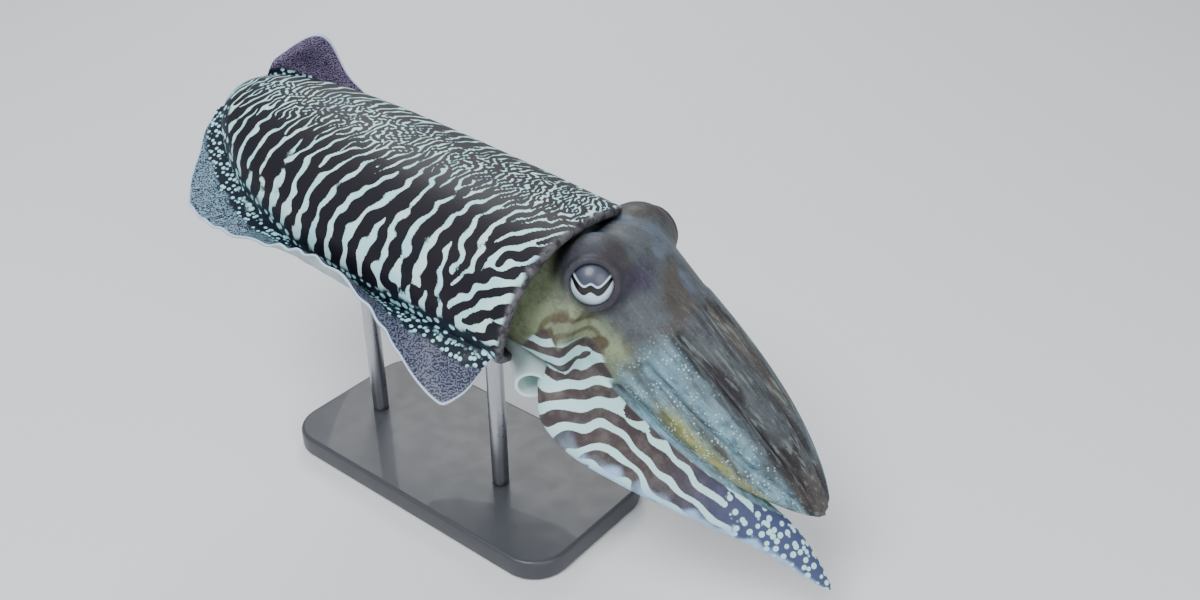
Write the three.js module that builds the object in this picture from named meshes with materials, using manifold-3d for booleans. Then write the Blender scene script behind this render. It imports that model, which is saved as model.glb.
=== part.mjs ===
// A life-size museum model of a common cuttlefish (Sepia officinalis) in its zebra display, on a plain stand.
// It hovers with the mantle nearly level and turns its head and arms down and to its own right.
// Millimetres, +Z up, +X the way the mantle heads, origin at the middle of the stand's underside.
import * as THREE from "three";
import { mergeVertices } from "three/addons/utils/BufferGeometryUtils.js";
import Module from "manifold-3d";

const wasm = await Module();
wasm.setup();

// Driving sizes of the animal
const MANTLE_LENGTH = 235; // posterior tip to the side of the mantle's rim
const MANTLE_HALF_WIDTH = 59;
const MANTLE_DORSAL = 41;
const MANTLE_VENTRAL = 38;
const MANTLE_WALL = 5;
const MANTLE_SAG = 10; // how far the body's middle hangs below a straight line
const RIM_DORSAL_LEAD = 3; // how far the rim reaches forward over the nape
const RIM_SLANT = 9; // how far its right side leads its middle
const RIM_VENTRAL_NOTCH = 10;
const RECESS_DEPTH = 16; // the pocket inside the rim that takes the neck
const FIN_WIDTH = 25;
const FIN_ROOT_THICKNESS = 6;
const FIN_EDGE_THICKNESS = 1.2;
const HEAD_LENGTH = 58; // back of the skull to the arm roots
const HEAD_HALF_WIDTH = 36;
const HEAD_HALF_HEIGHT = 33;
const EYE_RADIUS = 12.5;
const EYE_OPENING = 9.8; // radius between the lids
const LID_THICKNESS = 2.2;
const DOME_RADIUS = 19; // the bulge round each eye
const FUNNEL_ROOT_RADIUS = 13;
const FUNNEL_TIP_RADIUS = 7.5;
const FUNNEL_BORE_DEPTH = 14;
const CROWN_REACH = 118; // arm roots to the crown's tip
const CROWN_RADIUS = 34;
const BLADE_HALF_WIDTH = 17.5;
const BLADE_HALF_THICKNESS = 9;
const SUCKER_RADIUS = { root: 1.75, tip: 0.5 };
const SUCKER_HEIGHT = 0.65; // of its rim, in its own radii
const SUCKER_DISH = 0.4; // depth of its face, in its own radii
const SUCKER_SINK = 1.2; // root depth in the arm
const GAP = 0.3; // between nodes that touch

// Driving sizes of the stand
const STAND_LENGTH = 190;
const STAND_WIDTH = 96;
const STAND_THICKNESS = 12;
const STAND_CORNER = 18;
const STAND_MIDDLE = -78; // along the animal, from its neck
const ROD_RADIUS = 4.5;
const ROD_PLACES = { front: -38, rear: -138 };
const TIP_CLEARANCE = 14; // lowest arm tip above the base

// Attitude, in degrees
const MANTLE_PITCH = 10; // nose down
const MANTLE_ROLL = -4; // left side up
const MANTLE_TWIST = 22; // roll change from tail to rim, right side rising
const HEAD_YAW = 7; // towards the animal's left
const HEAD_PITCH = 41; // nose down
const HEAD_ROLL = -11; // left side up
const HEAD_ORIGIN = [-5, 12, 16]; // back of the skull, from the neck

const deg = THREE.MathUtils.degToRad;
const clamp01 = (t) => Math.min(1, Math.max(0, t));
const mix = (a, b, t) => a + (b - a) * t;
const smooth = (a, b, t) => {
  const k = clamp01((t - a) / (b - a));
  return k * k * (3 - 2 * k);
};

// The same shuffled numbers on every run, 0 to 1
function seeded(seed) {
  let state = seed;
  return () => {
    state = (state * 16807) % 2147483647;
    return state / 2147483647;
  };
}

// A frame whose x points forward, y to the animal's left and z to its back
function frameOf(yaw, pitch, roll, origin) {
  const turn = new THREE.Euler(deg(roll), deg(pitch), deg(yaw), "ZYX");
  return new THREE.Matrix4().makeRotationFromEuler(turn).setPosition(origin);
}

const neck = new THREE.Vector3(0, 0, 0);
const mantleFrame = frameOf(0, MANTLE_PITCH, MANTLE_ROLL, neck);
const headFrame = frameOf(HEAD_YAW, HEAD_PITCH, HEAD_ROLL, new THREE.Vector3(...HEAD_ORIGIN));

// Closed surface through rings of points, each ring with the same count, capped at both ends.
// The last cap's middle moves by dish
function loft(rings, dish = new THREE.Vector3()) {
  const count = rings[0].length;
  const points = rings.flat();
  const faces = [];
  for (let r = 0; r + 1 < rings.length; r++)
    for (let k = 0; k < count; k++) {
      const a = r * count + k;
      const b = r * count + ((k + 1) % count);
      faces.push([a, a + count, b], [b, a + count, b + count]);
    }
  for (const [ring, flip] of [
    [0, false],
    [rings.length - 1, true],
  ]) {
    const middle = new THREE.Vector3();
    rings[ring].forEach((p) => middle.addScaledVector(p, 1 / count));
    if (flip) middle.add(dish);
    const hub = points.push(middle) - 1;
    for (let k = 0; k < count; k++) {
      const a = ring * count + k;
      const b = ring * count + ((k + 1) % count);
      faces.push(flip ? [a, hub, b] : [b, hub, a]);
    }
  }
  return solidFrom(points, faces);
}

function solidFrom(points, faces) {
  const vertProperties = new Float32Array(points.flatMap((p) => [p.x, p.y, p.z]));
  const build = (list) =>
    new wasm.Manifold(
      new wasm.Mesh({
        numProp: 3,
        vertProperties,
        triVerts: new Uint32Array(list.flat()),
      }),
    );
  const made = build(faces);
  return made.volume() > 0 ? made : build(faces.map(([a, b, c]) => [a, c, b]));
}

// A three.js geometry as a solid
function solidOf(geometry, matrix = new THREE.Matrix4()) {
  const g = geometry.clone().applyMatrix4(matrix);
  g.deleteAttribute("normal");
  g.deleteAttribute("uv");
  const merged = mergeVertices(g, 1e-4);
  return new wasm.Manifold(
    new wasm.Mesh({
      numProp: 3,
      vertProperties: new Float32Array(merged.attributes.position.array),
      triVerts: new Uint32Array(merged.index.array),
    }),
  );
}

const largest = (solid) =>
  solid.decompose().reduce((a, b) => (b.volume() > a.volume() ? b : a));

// The mantle: an oval bag, twisted along its length, with a rim that leads at the back
// and a pocket for the neck
const mantleWidth = (t) => MANTLE_HALF_WIDTH * Math.sqrt(1 - Math.pow(1 - clamp01(t / 0.7), 2.2));
const dorsalHeight = (t) => MANTLE_DORSAL * Math.sqrt(1 - Math.pow(1 - clamp01(t / 0.85), 1.9));
const ventralDepth = (t) => MANTLE_VENTRAL * Math.sqrt(1 - Math.pow(1 - clamp01(t / 0.6), 2.2));
const sagAt = (t) => -MANTLE_SAG * Math.sin(Math.PI * Math.pow(t, 0.8));
const rimLead = (angle) =>
  RIM_DORSAL_LEAD * Math.pow(Math.max(0, Math.sin(angle)), 4) -
  RIM_SLANT * Math.cos(angle) -
  RIM_VENTRAL_NOTCH * Math.pow(Math.max(0, -Math.sin(angle)), 2);
const twistAt = (t) => deg(MANTLE_TWIST) * (0.5 - t);

// A point of the mantle: t from tail to rim, angle 0 at the left, 90 at the back, grown outwards by swell
function mantlePoint(t, angle, swell = 0, lead = 0) {
  const half = mantleWidth(t) + swell;
  const c = Math.cos(angle);
  const s = Math.sin(angle);
  const tall = (s > 0 ? dorsalHeight(t) : ventralDepth(t)) + swell;
  const y = half * Math.sign(c) * Math.pow(Math.abs(c), 0.92);
  const z = tall * Math.sign(s) * Math.pow(Math.abs(s), 0.92);
  const turn = twistAt(t);
  return new THREE.Vector3(
    MANTLE_LENGTH * (t - 1) + lead * rimLead(angle),
    y * Math.cos(turn) - z * Math.sin(turn),
    y * Math.sin(turn) + z * Math.cos(turn) + sagAt(t),
  ).applyMatrix4(mantleFrame);
}

const MANTLE_SIDES = 36;
const MANTLE_STEPS = 22;
function mantleSolid(swell) {
  const ringAt = (t, grow, lead, back = 0) =>
    Array.from({ length: MANTLE_SIDES }, (_, k) => {
      const angle = (2 * Math.PI * k) / MANTLE_SIDES;
      return mantlePoint(t - back / MANTLE_LENGTH, angle, grow, lead);
    });
  const rings = [];
  for (let i = 0; i <= MANTLE_STEPS; i++) {
    const u = i / MANTLE_STEPS;
    const t = 1 - Math.cos((Math.PI / 2) * (0.08 + 0.92 * u));
    rings.push(ringAt(t, swell, Math.pow(t, 6), swell * (1 - 2 * t)));
  }
  rings.push(ringAt(1, -MANTLE_WALL - swell, 1, 1.5 - swell));
  rings.push(ringAt(1, -MANTLE_WALL - swell, 0.3, RECESS_DEPTH - swell));
  return loft(rings);
}

// Fins: a waving band along each side, its root lower round the body towards the front
const FIN_FROM = 0.012;
const FIN_TO = 0.985;
const FIN_STEPS = 40;
const FIN_ACROSS = 4;
const FIN_SINK = 3; // how far the root starts inside the mantle, before it is cut
const finDrop = (t) => deg(mix(16, 34, t));
const bump = (t, middle, reach) => Math.exp(-Math.pow((t - middle) / reach, 2));
const finEnds = (t) =>
  Math.pow(clamp01((t - FIN_FROM) / 0.22 + 0.1), 0.7) * Math.pow(clamp01((FIN_TO - t) / 0.04 + 0.02), 0.5);

// Each fin's own wave: how its slope, in degrees, and its reach change from tail to rim
const finWave = {
  right: {
    slope: (t) => -12 + 52 * bump(t, 0.6, 0.22) - 46 * bump(t, 0.96, 0.12),
    reach: (t) => 0.8 + 0.3 * bump(t, 0.22, 0.12) + 0.34 * bump(t, 0.95, 0.09),
  },
  left: {
    slope: (t) => -24 + 92 * bump(t, 0.07, 0.12) + 36 * bump(t, 0.8, 0.07),
    reach: (t) => 0.85 + 2.1 * bump(t, 0.06, 0.055) + 0.2 * bump(t, 0.8, 0.07),
  },
};

function finSolid(side) {
  const sign = side === "left" ? 1 : -1;
  const wave = finWave[side];
  const columns = [];
  for (let i = 0; i <= FIN_STEPS; i++) {
    const t = mix(FIN_FROM, FIN_TO, i / FIN_STEPS);
    const rootAngle = side === "left" ? -finDrop(t) : Math.PI + finDrop(t);
    const lead = Math.pow(t, 6);
    const root = mantlePoint(t, rootAngle, -FIN_SINK, lead);
    const ahead = mantlePoint(t + 0.01, rootAngle, -FIN_SINK, lead);
    const along = ahead.clone().sub(root).normalize();
    const up = mantlePoint(t, Math.PI / 2).sub(mantlePoint(t, -Math.PI / 2)).normalize();
    const out = new THREE.Vector3().crossVectors(up, along).multiplyScalar(sign).normalize();
    const lift = new THREE.Vector3().crossVectors(along, out).multiplyScalar(sign).normalize();
    const width = FIN_SINK + FIN_WIDTH * finEnds(t) * wave.reach(t);
    const column = [];
    for (let j = 0; j <= FIN_ACROSS; j++) {
      const v = j / FIN_ACROSS;
      const slope = deg(wave.slope(t)) * smooth(0, 1, v + 0.15);
      const middle = root
        .clone()
        .addScaledVector(out, width * v * Math.cos(slope))
        .addScaledVector(lift, width * v * Math.sin(slope));
      const thick = mix(FIN_ROOT_THICKNESS, FIN_EDGE_THICKNESS, Math.pow(v, 0.6)) / 2;
      const normal = lift.clone().multiplyScalar(Math.cos(slope)).addScaledVector(out, -Math.sin(slope));
      column.push([
        middle.clone().addScaledVector(normal, thick),
        middle.clone().addScaledVector(normal, -thick),
      ]);
    }
    columns.push([...column.map((c) => c[0]), ...column.map((c) => c[1]).reverse()]);
  }
  return loft(columns);
}

// The head: a rounded skull and a neck, with a dome, lids and an opening for each eye
const HEAD_SIDES = 28;
const HEAD_STEPS = 9;
const NECK_SIZE = { from: -RECESS_DEPTH + GAP, to: 26, half: 38, tall: 28 };
const EYE_PLACE = { forward: 16, out: 30, up: 14 };
const EYE_TURN = { up: 16, forward: 8 }; // degrees off straight sideways
const headSwell = (u) => Math.sqrt(Math.sin((Math.PI / 2) * clamp01(u / 0.45 + 0.2)));
const headWidth = (u) => HEAD_HALF_WIDTH * headSwell(u) * (1 - 0.04 * u * u);
const headHeight = (u) => HEAD_HALF_HEIGHT * headSwell(u) * (1 - 0.06 * u * u);

function ovalRing(frame, x, half, tall, sides) {
  return Array.from({ length: sides }, (_, k) => {
    const a = (2 * Math.PI * k) / sides;
    const c = Math.cos(a);
    const s = Math.sin(a);
    return new THREE.Vector3(
      x,
      half * Math.sign(c) * Math.pow(Math.abs(c), 0.9),
      tall * Math.sign(s) * Math.pow(Math.abs(s), 0.9),
    ).applyMatrix4(frame);
  });
}

// The eye's own frame: z points out of the head
function eyeFrame(sign, outwards) {
  const up = deg(EYE_TURN.up);
  const ahead = deg(EYE_TURN.forward);
  const axis = new THREE.Vector3(
    Math.sin(ahead) * Math.cos(up),
    sign * Math.cos(ahead) * Math.cos(up),
    Math.sin(up),
  );
  const turn = new THREE.Matrix4().makeRotationFromQuaternion(
    new THREE.Quaternion().setFromUnitVectors(new THREE.Vector3(0, 0, 1), axis),
  );
  const place = new THREE.Vector3(EYE_PLACE.forward, sign * EYE_PLACE.out, EYE_PLACE.up);
  place.addScaledVector(axis, outwards);
  return turn.setPosition(place).premultiply(headFrame);
}

const DOME_SINK = 6.5;
function headSolid(swell) {
  const rings = [];
  for (let i = 0; i <= HEAD_STEPS; i++) {
    const u = i / HEAD_STEPS;
    rings.push(ovalRing(headFrame, HEAD_LENGTH * u, headWidth(u) + swell, headHeight(u) + swell, HEAD_SIDES));
  }
  const neckRings = [NECK_SIZE.from, NECK_SIZE.to].map((x) =>
    ovalRing(mantleFrame, x, NECK_SIZE.half + swell, NECK_SIZE.tall + swell, HEAD_SIDES),
  );
  let solid = loft(rings).add(loft(neckRings));
  for (const sign of [1, -1]) {
    const dome = new THREE.SphereGeometry(DOME_RADIUS + swell, 18, 12);
    solid = solid.add(solidOf(dome, eyeFrame(sign, -DOME_SINK)));
    const lids = new THREE.TorusGeometry(EYE_OPENING + 1, LID_THICKNESS + swell, 7, 20);
    solid = solid.add(solidOf(lids, eyeFrame(sign, EYE_RADIUS - 4.2)));
  }
  return solid;
}

function eyeSolid(sign, swell) {
  return solidOf(new THREE.SphereGeometry(EYE_RADIUS + swell, 18, 12), eyeFrame(sign, 0));
}

function eyeOpening(sign) {
  const reach = 2 * EYE_RADIUS;
  const cone = new THREE.CylinderGeometry(EYE_OPENING + 4, EYE_OPENING - 1, reach, 20);
  cone.rotateX(Math.PI / 2);
  return solidOf(cone, eyeFrame(sign, EYE_RADIUS - 7 + reach / 2));
}

// The funnel: a tapered tube under the neck, turned to the right
const FUNNEL_PATH = [
  [-12, -14, -24],
  [2, -24, -28],
  [13, -37, -29],
].map((p) => new THREE.Vector3(...p));
function tubeAlong(curve, radiusAt, steps, sides, frame) {
  const rings = [];
  const side = new THREE.Vector3(0, 0, 1);
  for (let i = 0; i <= steps; i++) {
    const s = i / steps;
    const along = curve.getTangent(s);
    const a = side.clone().addScaledVector(along, -side.dot(along)).normalize();
    const b = new THREE.Vector3().crossVectors(along, a);
    const centre = curve.getPoint(s);
    rings.push(
      Array.from({ length: sides }, (_, k) => {
        const angle = (2 * Math.PI * k) / sides;
        return centre
          .clone()
          .addScaledVector(a, radiusAt(s) * Math.cos(angle))
          .addScaledVector(b, radiusAt(s) * Math.sin(angle))
          .applyMatrix4(frame);
      }),
    );
  }
  return loft(rings);
}

function funnelSolid(swell) {
  const curve = new THREE.CatmullRomCurve3(FUNNEL_PATH);
  return tubeAlong(curve, (s) => mix(FUNNEL_ROOT_RADIUS, FUNNEL_TIP_RADIUS, s) + swell, 6, 18, mantleFrame);
}

function funnelBore() {
  const curve = new THREE.CatmullRomCurve3(FUNNEL_PATH);
  const end = curve.getPoint(1);
  const along = curve.getTangent(1);
  const straight = new THREE.LineCurve3(
    end.clone().addScaledVector(along, -FUNNEL_BORE_DEPTH),
    end.clone().addScaledVector(along, 2),
  );
  return tubeAlong(straight, () => FUNNEL_TIP_RADIUS - 1.6, 1, 18, mantleFrame);
}

// The crown: arms packed round one axis as sectors. s runs 0 at the roots to 1 at the crown's tip
const CROWN_BEND = { y: 2, z: 6 }; // how far the tip leaves the head's axis
const CROWN_LIFT = 2; // of the crown's axis above the head's
const CROWN_FLAT = 0.9; // its height over its width
const CROWN_START = HEAD_LENGTH - 6;
const crownAxis = (s) =>
  new THREE.Vector3(CROWN_START + CROWN_REACH * s, CROWN_BEND.y * s * s, CROWN_LIFT + CROWN_BEND.z * s * s);
const crownRadius = (s) => CROWN_RADIUS * Math.pow(1 - Math.pow(s, 2.4), 0.75) + 1.2;
const ARM_SPLIT = 0.5; // where each arm's root length ends and its tip length starts

// Middle and half spread in degrees round the crown from its dorsal line, rightwards
const arms = [
  { name: "arm_right_1", middle: 21, spread: 20, length: 0.97 },
  { name: "arm_right_2", middle: 62, spread: 20, length: 1 },
  { name: "arm_right_3", middle: 103, spread: 20, length: 0.98 },
  { name: "arm_left_1", middle: -21, spread: 20, length: 0.96 },
  { name: "arm_left_2", middle: -62, spread: 20, length: 0.99 },
  { name: "arm_left_3", middle: -103, spread: 20, length: 0.98 },
  { name: "arm_left_4", middle: -145, spread: 21, length: 1 },
];
const ARM_SIDES = 12;
const ARM_STEPS = 7; // in each of its two lengths

function crownPoint(s, angle, radius) {
  const p = crownAxis(s);
  p.y -= radius * Math.sin(angle);
  p.z += radius * Math.cos(angle) * CROWN_FLAT;
  return p.applyMatrix4(headFrame);
}

const boxy = (x) => Math.sign(x) * Math.pow(Math.abs(x), 0.75);

// Point k of an arm's section at the share u of its length; size 0 gives the section's middle
function armPoint(arm, u, k, size = 1) {
  const s = arm.length * u;
  const taper = Math.pow(1 - Math.pow(s / (arm.length + 0.02), 3), 0.6);
  const outer = crownRadius(s);
  const inner = outer * mix(0.42, 0.3, s);
  const half = deg(arm.spread) * mix(0.55, 1, taper) * size;
  const a = (2 * Math.PI * k) / ARM_SIDES;
  const outwards = 0.5 + 0.5 * boxy(Math.sin(a)) * mix(0.7, 1, taper) * size;
  return crownPoint(s, deg(arm.middle) + boxy(Math.cos(a)) * half, mix(inner, outer, outwards));
}

// A tapered limb between two shares of its length
function limbSolid(pointAt, from, to, steps) {
  const rings = [];
  for (let i = 0; i <= steps; i++) {
    const u = mix(from, to, i / steps);
    rings.push(Array.from({ length: ARM_SIDES }, (_, k) => pointAt(u, k)));
  }
  return loft(rings);
}

// Suckers in two staggered rows, from the root to the tip, each on an edge between two facets
const SUCKER_SIDES = 7;
const random = seeded(7);
function addSuckers(limb, pointAt, rows, { from, to, count }) {
  let solid = limb;
  for (let i = 0; i < count; i++) {
    const u = mix(from, to, (i + 0.5) / count);
    const spot = pointAt(u, rows[i % 2]);
    const outwards = spot.clone().sub(pointAt(u, rows[i % 2], 0)).normalize();
    const radius = mix(SUCKER_RADIUS.root, SUCKER_RADIUS.tip, u) * mix(0.92, 1.08, random());
    const ringAt = (height, width) =>
      Array.from({ length: SUCKER_SIDES }, (_, k) => {
        const a = (2 * Math.PI * k) / SUCKER_SIDES;
        const turn = new THREE.Quaternion().setFromUnitVectors(new THREE.Vector3(0, 0, 1), outwards);
        const p = new THREE.Vector3(width * Math.cos(a), width * Math.sin(a), height);
        return p.applyQuaternion(turn).add(spot);
      });
    const dish = outwards.clone().multiplyScalar(-SUCKER_DISH * radius);
    const rings = [ringAt(-SUCKER_SINK, 0.6 * radius), ringAt(SUCKER_HEIGHT * radius, radius)];
    solid = solid.add(loft(rings, dish));
  }
  return solid;
}

// The crown's whole envelope, which the ventral blade keeps clear of. It is hollow where no arm lies
const EMPTY_SECTOR = { from: 125, to: 192, radius: 0.45 };
function crownSolid(swell) {
  const rings = [];
  const steps = 12;
  const filled = 28;
  const hollow = 8;
  for (let i = 0; i <= steps; i++) {
    const s = i / steps;
    const full = crownRadius(s) + swell;
    const ring = [];
    for (let k = 0; k < filled; k++)
      ring.push(crownPoint(s, deg(mix(EMPTY_SECTOR.to, EMPTY_SECTOR.from + 360, k / (filled - 1))), full));
    for (let k = 0; k < hollow; k++) {
      const angle = mix(EMPTY_SECTOR.from + 1, EMPTY_SECTOR.to - 1, k / (hollow - 1));
      ring.push(crownPoint(s, deg(angle), full * EMPTY_SECTOR.radius));
    }
    rings.push(ring);
  }
  return loft(rings);
}

// The right ventral arm, spread as a broad keeled blade beside the crown
const BLADE_PATH = [
  [33, -34, -29],
  [52, -39, -31],
  [70, -39, -30],
  [93, -34, -25],
  [119, -26, -19],
  [142, -19, -14],
  [167, -13, -10],
  [198, -10, -9],
].map((p) => new THREE.Vector3(...p));
const BLADE_STEPS = 10; // in each of its two lengths
const bladeTaper = (s) =>
  Math.pow(clamp01(s / 0.16 + 0.45), 0.7) * Math.pow(1 - Math.pow(s, 2.6), 0.8) + 0.03;

const BLADE_WEB = 0.4; // how much wider its inner half is near the root, where it tucks under the crown
const BLADE_OUTWARDS = new THREE.Vector3(0, -0.78, -0.62); // from the crown to the keel
const BLADE_THIN = new THREE.Vector3(0, 0.62, -0.78); // through the blade, towards its inner face
const bladeCurve = new THREE.CatmullRomCurve3(BLADE_PATH);
function bladePoint(u, k, size = 1) {
  const a = (2 * Math.PI * k) / ARM_SIDES;
  const widened = Math.cos(a) < 0 ? 1 + BLADE_WEB * smooth(0.65, 0.35, u) : 1;
  const taper = bladeTaper(u) * size;
  return bladeCurve
    .getPointAt(u)
    .addScaledVector(BLADE_OUTWARDS, BLADE_HALF_WIDTH * widened * taper * Math.cos(a))
    .addScaledVector(BLADE_THIN, BLADE_HALF_THICKNESS * taper * Math.sin(a))
    .applyMatrix4(headFrame);
}

const nodes = [];
const addNode = (name, solid, color, roughness = 0.6, metalness = 0) =>
  nodes.push({ name, solid, color, roughness, metalness });

const COLOURS = {
  mantle: 0x2a2530,
  fin: 0x5a5560,
  head: 0x6a7078,
  eye: 0x101012,
  funnel: 0xd0d8d8,
  arm: 0x6f757a,
  blade: 0xb8c4c8,
  stand: 0x2b2b2e,
};

const mantle = mantleSolid(0);
const mantleGrown = mantleSolid(GAP);
addNode("mantle", mantle, COLOURS.mantle);
for (const side of ["right", "left"])
  addNode(`fin_${side}`, largest(finSolid(side).subtract(mantleGrown)), COLOURS.fin);

let head = headSolid(0).subtract(mantleGrown);
for (const sign of [1, -1]) head = head.subtract(eyeSolid(sign, GAP)).subtract(eyeOpening(sign));
addNode("head", largest(head), COLOURS.head);
addNode("eye_right", eyeSolid(-1, 0), COLOURS.eye, 0.1);
addNode("eye_left", eyeSolid(1, 0), COLOURS.eye, 0.1);

const headGrown = headSolid(GAP);
const funnel = funnelSolid(0).subtract(funnelBore()).subtract(headGrown).subtract(mantleGrown);
addNode("funnel", largest(funnel), COLOURS.funnel);

const sliver = GAP / 2 / CROWN_REACH;
// Which points of the section carry suckers, and where along the arm they stand
const ARM_SUCKERS = {
  rows: [8, 10],
  root: { from: 0.08, to: 0.49, count: 6 },
  tip: { from: 0.51, to: 0.95, count: 7 },
};
const BLADE_SUCKERS = {
  rows: [4, 5],
  root: { from: 0.24, to: 0.49, count: 5 },
  tip: { from: 0.51, to: 0.95, count: 8 },
};
for (const arm of arms) {
  const pointAt = (u, k, size) => armPoint(arm, u, k, size);
  const root = limbSolid(pointAt, 0, ARM_SPLIT - sliver, ARM_STEPS);
  const tip = limbSolid(pointAt, ARM_SPLIT + sliver, 1, ARM_STEPS);
  const rootWithSuckers = addSuckers(root, pointAt, ARM_SUCKERS.rows, ARM_SUCKERS.root);
  const tipWithSuckers = addSuckers(tip, pointAt, ARM_SUCKERS.rows, ARM_SUCKERS.tip);
  addNode(`${arm.name}_base`, largest(rootWithSuckers.subtract(headGrown)), COLOURS.arm);
  addNode(`${arm.name}_tip`, largest(tipWithSuckers), COLOURS.arm);
}
const around = headGrown.add(crownSolid(GAP)).add(funnelSolid(GAP)).add(mantleGrown);
const bladeRoot = limbSolid(bladePoint, 0, ARM_SPLIT - sliver, BLADE_STEPS);
const bladeTip = limbSolid(bladePoint, ARM_SPLIT + sliver, 1, BLADE_STEPS);
const bladeRootWithSuckers = addSuckers(bladeRoot, bladePoint, BLADE_SUCKERS.rows, BLADE_SUCKERS.root);
const bladeTipWithSuckers = addSuckers(bladeTip, bladePoint, BLADE_SUCKERS.rows, BLADE_SUCKERS.tip);
addNode("arm_right_4_base", largest(bladeRootWithSuckers.subtract(around)), COLOURS.blade);
addNode("arm_right_4_tip", largest(bladeTipWithSuckers.subtract(around)), COLOURS.blade);

// The stand: a flat base and two rods that end just under the mantle
const lowest = Math.min(...nodes.map((node) => node.solid.boundingBox().min[2]));
const baseTop = lowest - TIP_CLEARANCE;
const baseBottom = baseTop - STAND_THICKNESS;
const baseShape = new THREE.Shape();
const halfLength = STAND_LENGTH / 2;
const halfWidth = STAND_WIDTH / 2;
for (const [sx, sy] of [[1, 1], [-1, 1], [-1, -1], [1, -1]]) {
  const quarter = Math.atan2(sy, sx) - Math.PI / 4;
  for (let i = 0; i <= 6; i++) {
    const angle = quarter + (Math.PI / 2) * (i / 6);
    const x = sx * (halfLength - STAND_CORNER) + STAND_CORNER * Math.cos(angle);
    const y = sy * (halfWidth - STAND_CORNER) + STAND_CORNER * Math.sin(angle);
    if (baseShape.curves.length === 0 && baseShape.currentPoint.length() === 0) baseShape.moveTo(x, y);
    else baseShape.lineTo(x, y);
  }
}
const baseGeometry = new THREE.ExtrudeGeometry(baseShape, { depth: STAND_THICKNESS, bevelEnabled: false });
addNode(
  "stand_base",
  solidOf(baseGeometry, new THREE.Matrix4().makeTranslation(STAND_MIDDLE, 0, baseBottom)),
  COLOURS.stand,
  0.45,
);
for (const [name, x] of Object.entries(ROD_PLACES)) {
  const t = 1 + x / MANTLE_LENGTH;
  const belly = mantlePoint(t, -Math.PI / 2);
  const top = belly.z + 12;
  const bottom = baseTop + GAP;
  const rod = new THREE.CylinderGeometry(ROD_RADIUS, ROD_RADIUS, top - bottom, 24);
  rod.rotateX(Math.PI / 2);
  const place = new THREE.Matrix4().makeTranslation(belly.x, belly.y, (top + bottom) / 2);
  addNode(`stand_rod_${name}`, largest(solidOf(rod, place).subtract(mantleGrown)), 0xb9bcc0, 0.35, 1);
}

// Everything moves so that the middle of the base's underside is the origin
const group = new THREE.Group();
for (const { name, solid, color, roughness, metalness } of nodes) {
  const mesh = solid.translate([-STAND_MIDDLE, 0, -baseBottom]).getMesh();
  const geometry = new THREE.BufferGeometry()
    .setAttribute("position", new THREE.BufferAttribute(new Float32Array(mesh.vertProperties), 3))
    .setIndex(new THREE.BufferAttribute(new Uint32Array(mesh.triVerts), 1));
  const node = new THREE.Mesh(geometry, new THREE.MeshStandardMaterial({ color, roughness, metalness }));
  node.name = name;
  group.add(node);
}

export default group;
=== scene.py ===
import math

import bpy
import bmesh
import numpy as np
from mathutils import Matrix, Vector


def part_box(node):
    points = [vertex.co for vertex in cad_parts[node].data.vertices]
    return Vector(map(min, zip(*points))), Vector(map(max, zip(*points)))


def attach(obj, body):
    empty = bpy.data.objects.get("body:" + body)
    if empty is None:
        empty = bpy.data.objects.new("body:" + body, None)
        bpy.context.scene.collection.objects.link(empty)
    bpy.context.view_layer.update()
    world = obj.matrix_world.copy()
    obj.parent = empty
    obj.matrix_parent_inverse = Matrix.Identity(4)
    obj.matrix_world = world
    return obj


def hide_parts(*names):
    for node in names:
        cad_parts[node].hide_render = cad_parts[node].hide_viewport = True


# A common cuttlefish in its zebra display. Shapes are worked out in millimetres from the neck,
# x towards the head, y to the animal's left, z up, and moved to the part's frame at the end.
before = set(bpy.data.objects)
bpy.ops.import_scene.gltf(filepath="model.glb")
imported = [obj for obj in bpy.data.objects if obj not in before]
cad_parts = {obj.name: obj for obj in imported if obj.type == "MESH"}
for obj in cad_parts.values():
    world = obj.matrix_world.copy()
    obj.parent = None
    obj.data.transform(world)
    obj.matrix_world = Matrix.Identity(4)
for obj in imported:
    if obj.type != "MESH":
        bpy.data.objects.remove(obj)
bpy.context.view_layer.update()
print("frame loaded")

# body plan, with the same sizes as the solids
mantle = {
    "length": 235,
    "halfWidth": 59,
    "dorsal": 41,
    "ventral": 38,
    "widest": 0.7,  # where each stops growing, as a share of the length from the tail
    "tallest": 0.85,
    "deepest": 0.6,
    "square": 0.92,
    "wall": 5,
    "sag": 10,
    "dorsalLead": 3,
    "slant": 9,
    "ventralNotch": 10,
    "recess": 16,
    "twist": 22,
    "turn": (0, 10, -4),  # yaw, pitch, roll
}
fin = {"from": 0.012, "to": 0.985, "width": 25, "rootThick": 6, "edgeThick": 1.2, "sink": 3, "ripple": 0.9}
head = {
    "origin": (-5, 12, 16),
    "turn": (7, 41, -11),
    "length": 58,
    "halfWidth": 36,
    "halfHeight": 33,
    "eyePlace": (16, 30, 14),
    "eyeTurn": (16, 8),  # up, forward
    "eyeRadius": 12.5,
    "opening": 9.8,
    "lid": 2.2,
    "lidSink": 4.2,
    "dome": 19,
    "domeSink": 6.5,
    "neck": (38, 28),  # half width, half height
}
crown = {"overlap": 6, "reach": 118, "radius": 34, "bendY": 2, "bendZ": 6, "lift": 2, "flat": 0.9, "tip": 1.2}


def smooth(a, b, x):
    k = np.clip((x - a) / (b - a), 0, 1)
    return k * k * (3 - 2 * k)


def bump(t, middle, reach):
    return np.exp(-(((t - middle) / reach) ** 2))


def unit(v):
    return v / np.maximum(np.linalg.norm(v, axis=-1, keepdims=True), 1e-9)


def signedPower(x, power):
    return np.sign(x) * np.abs(x) ** power


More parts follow.
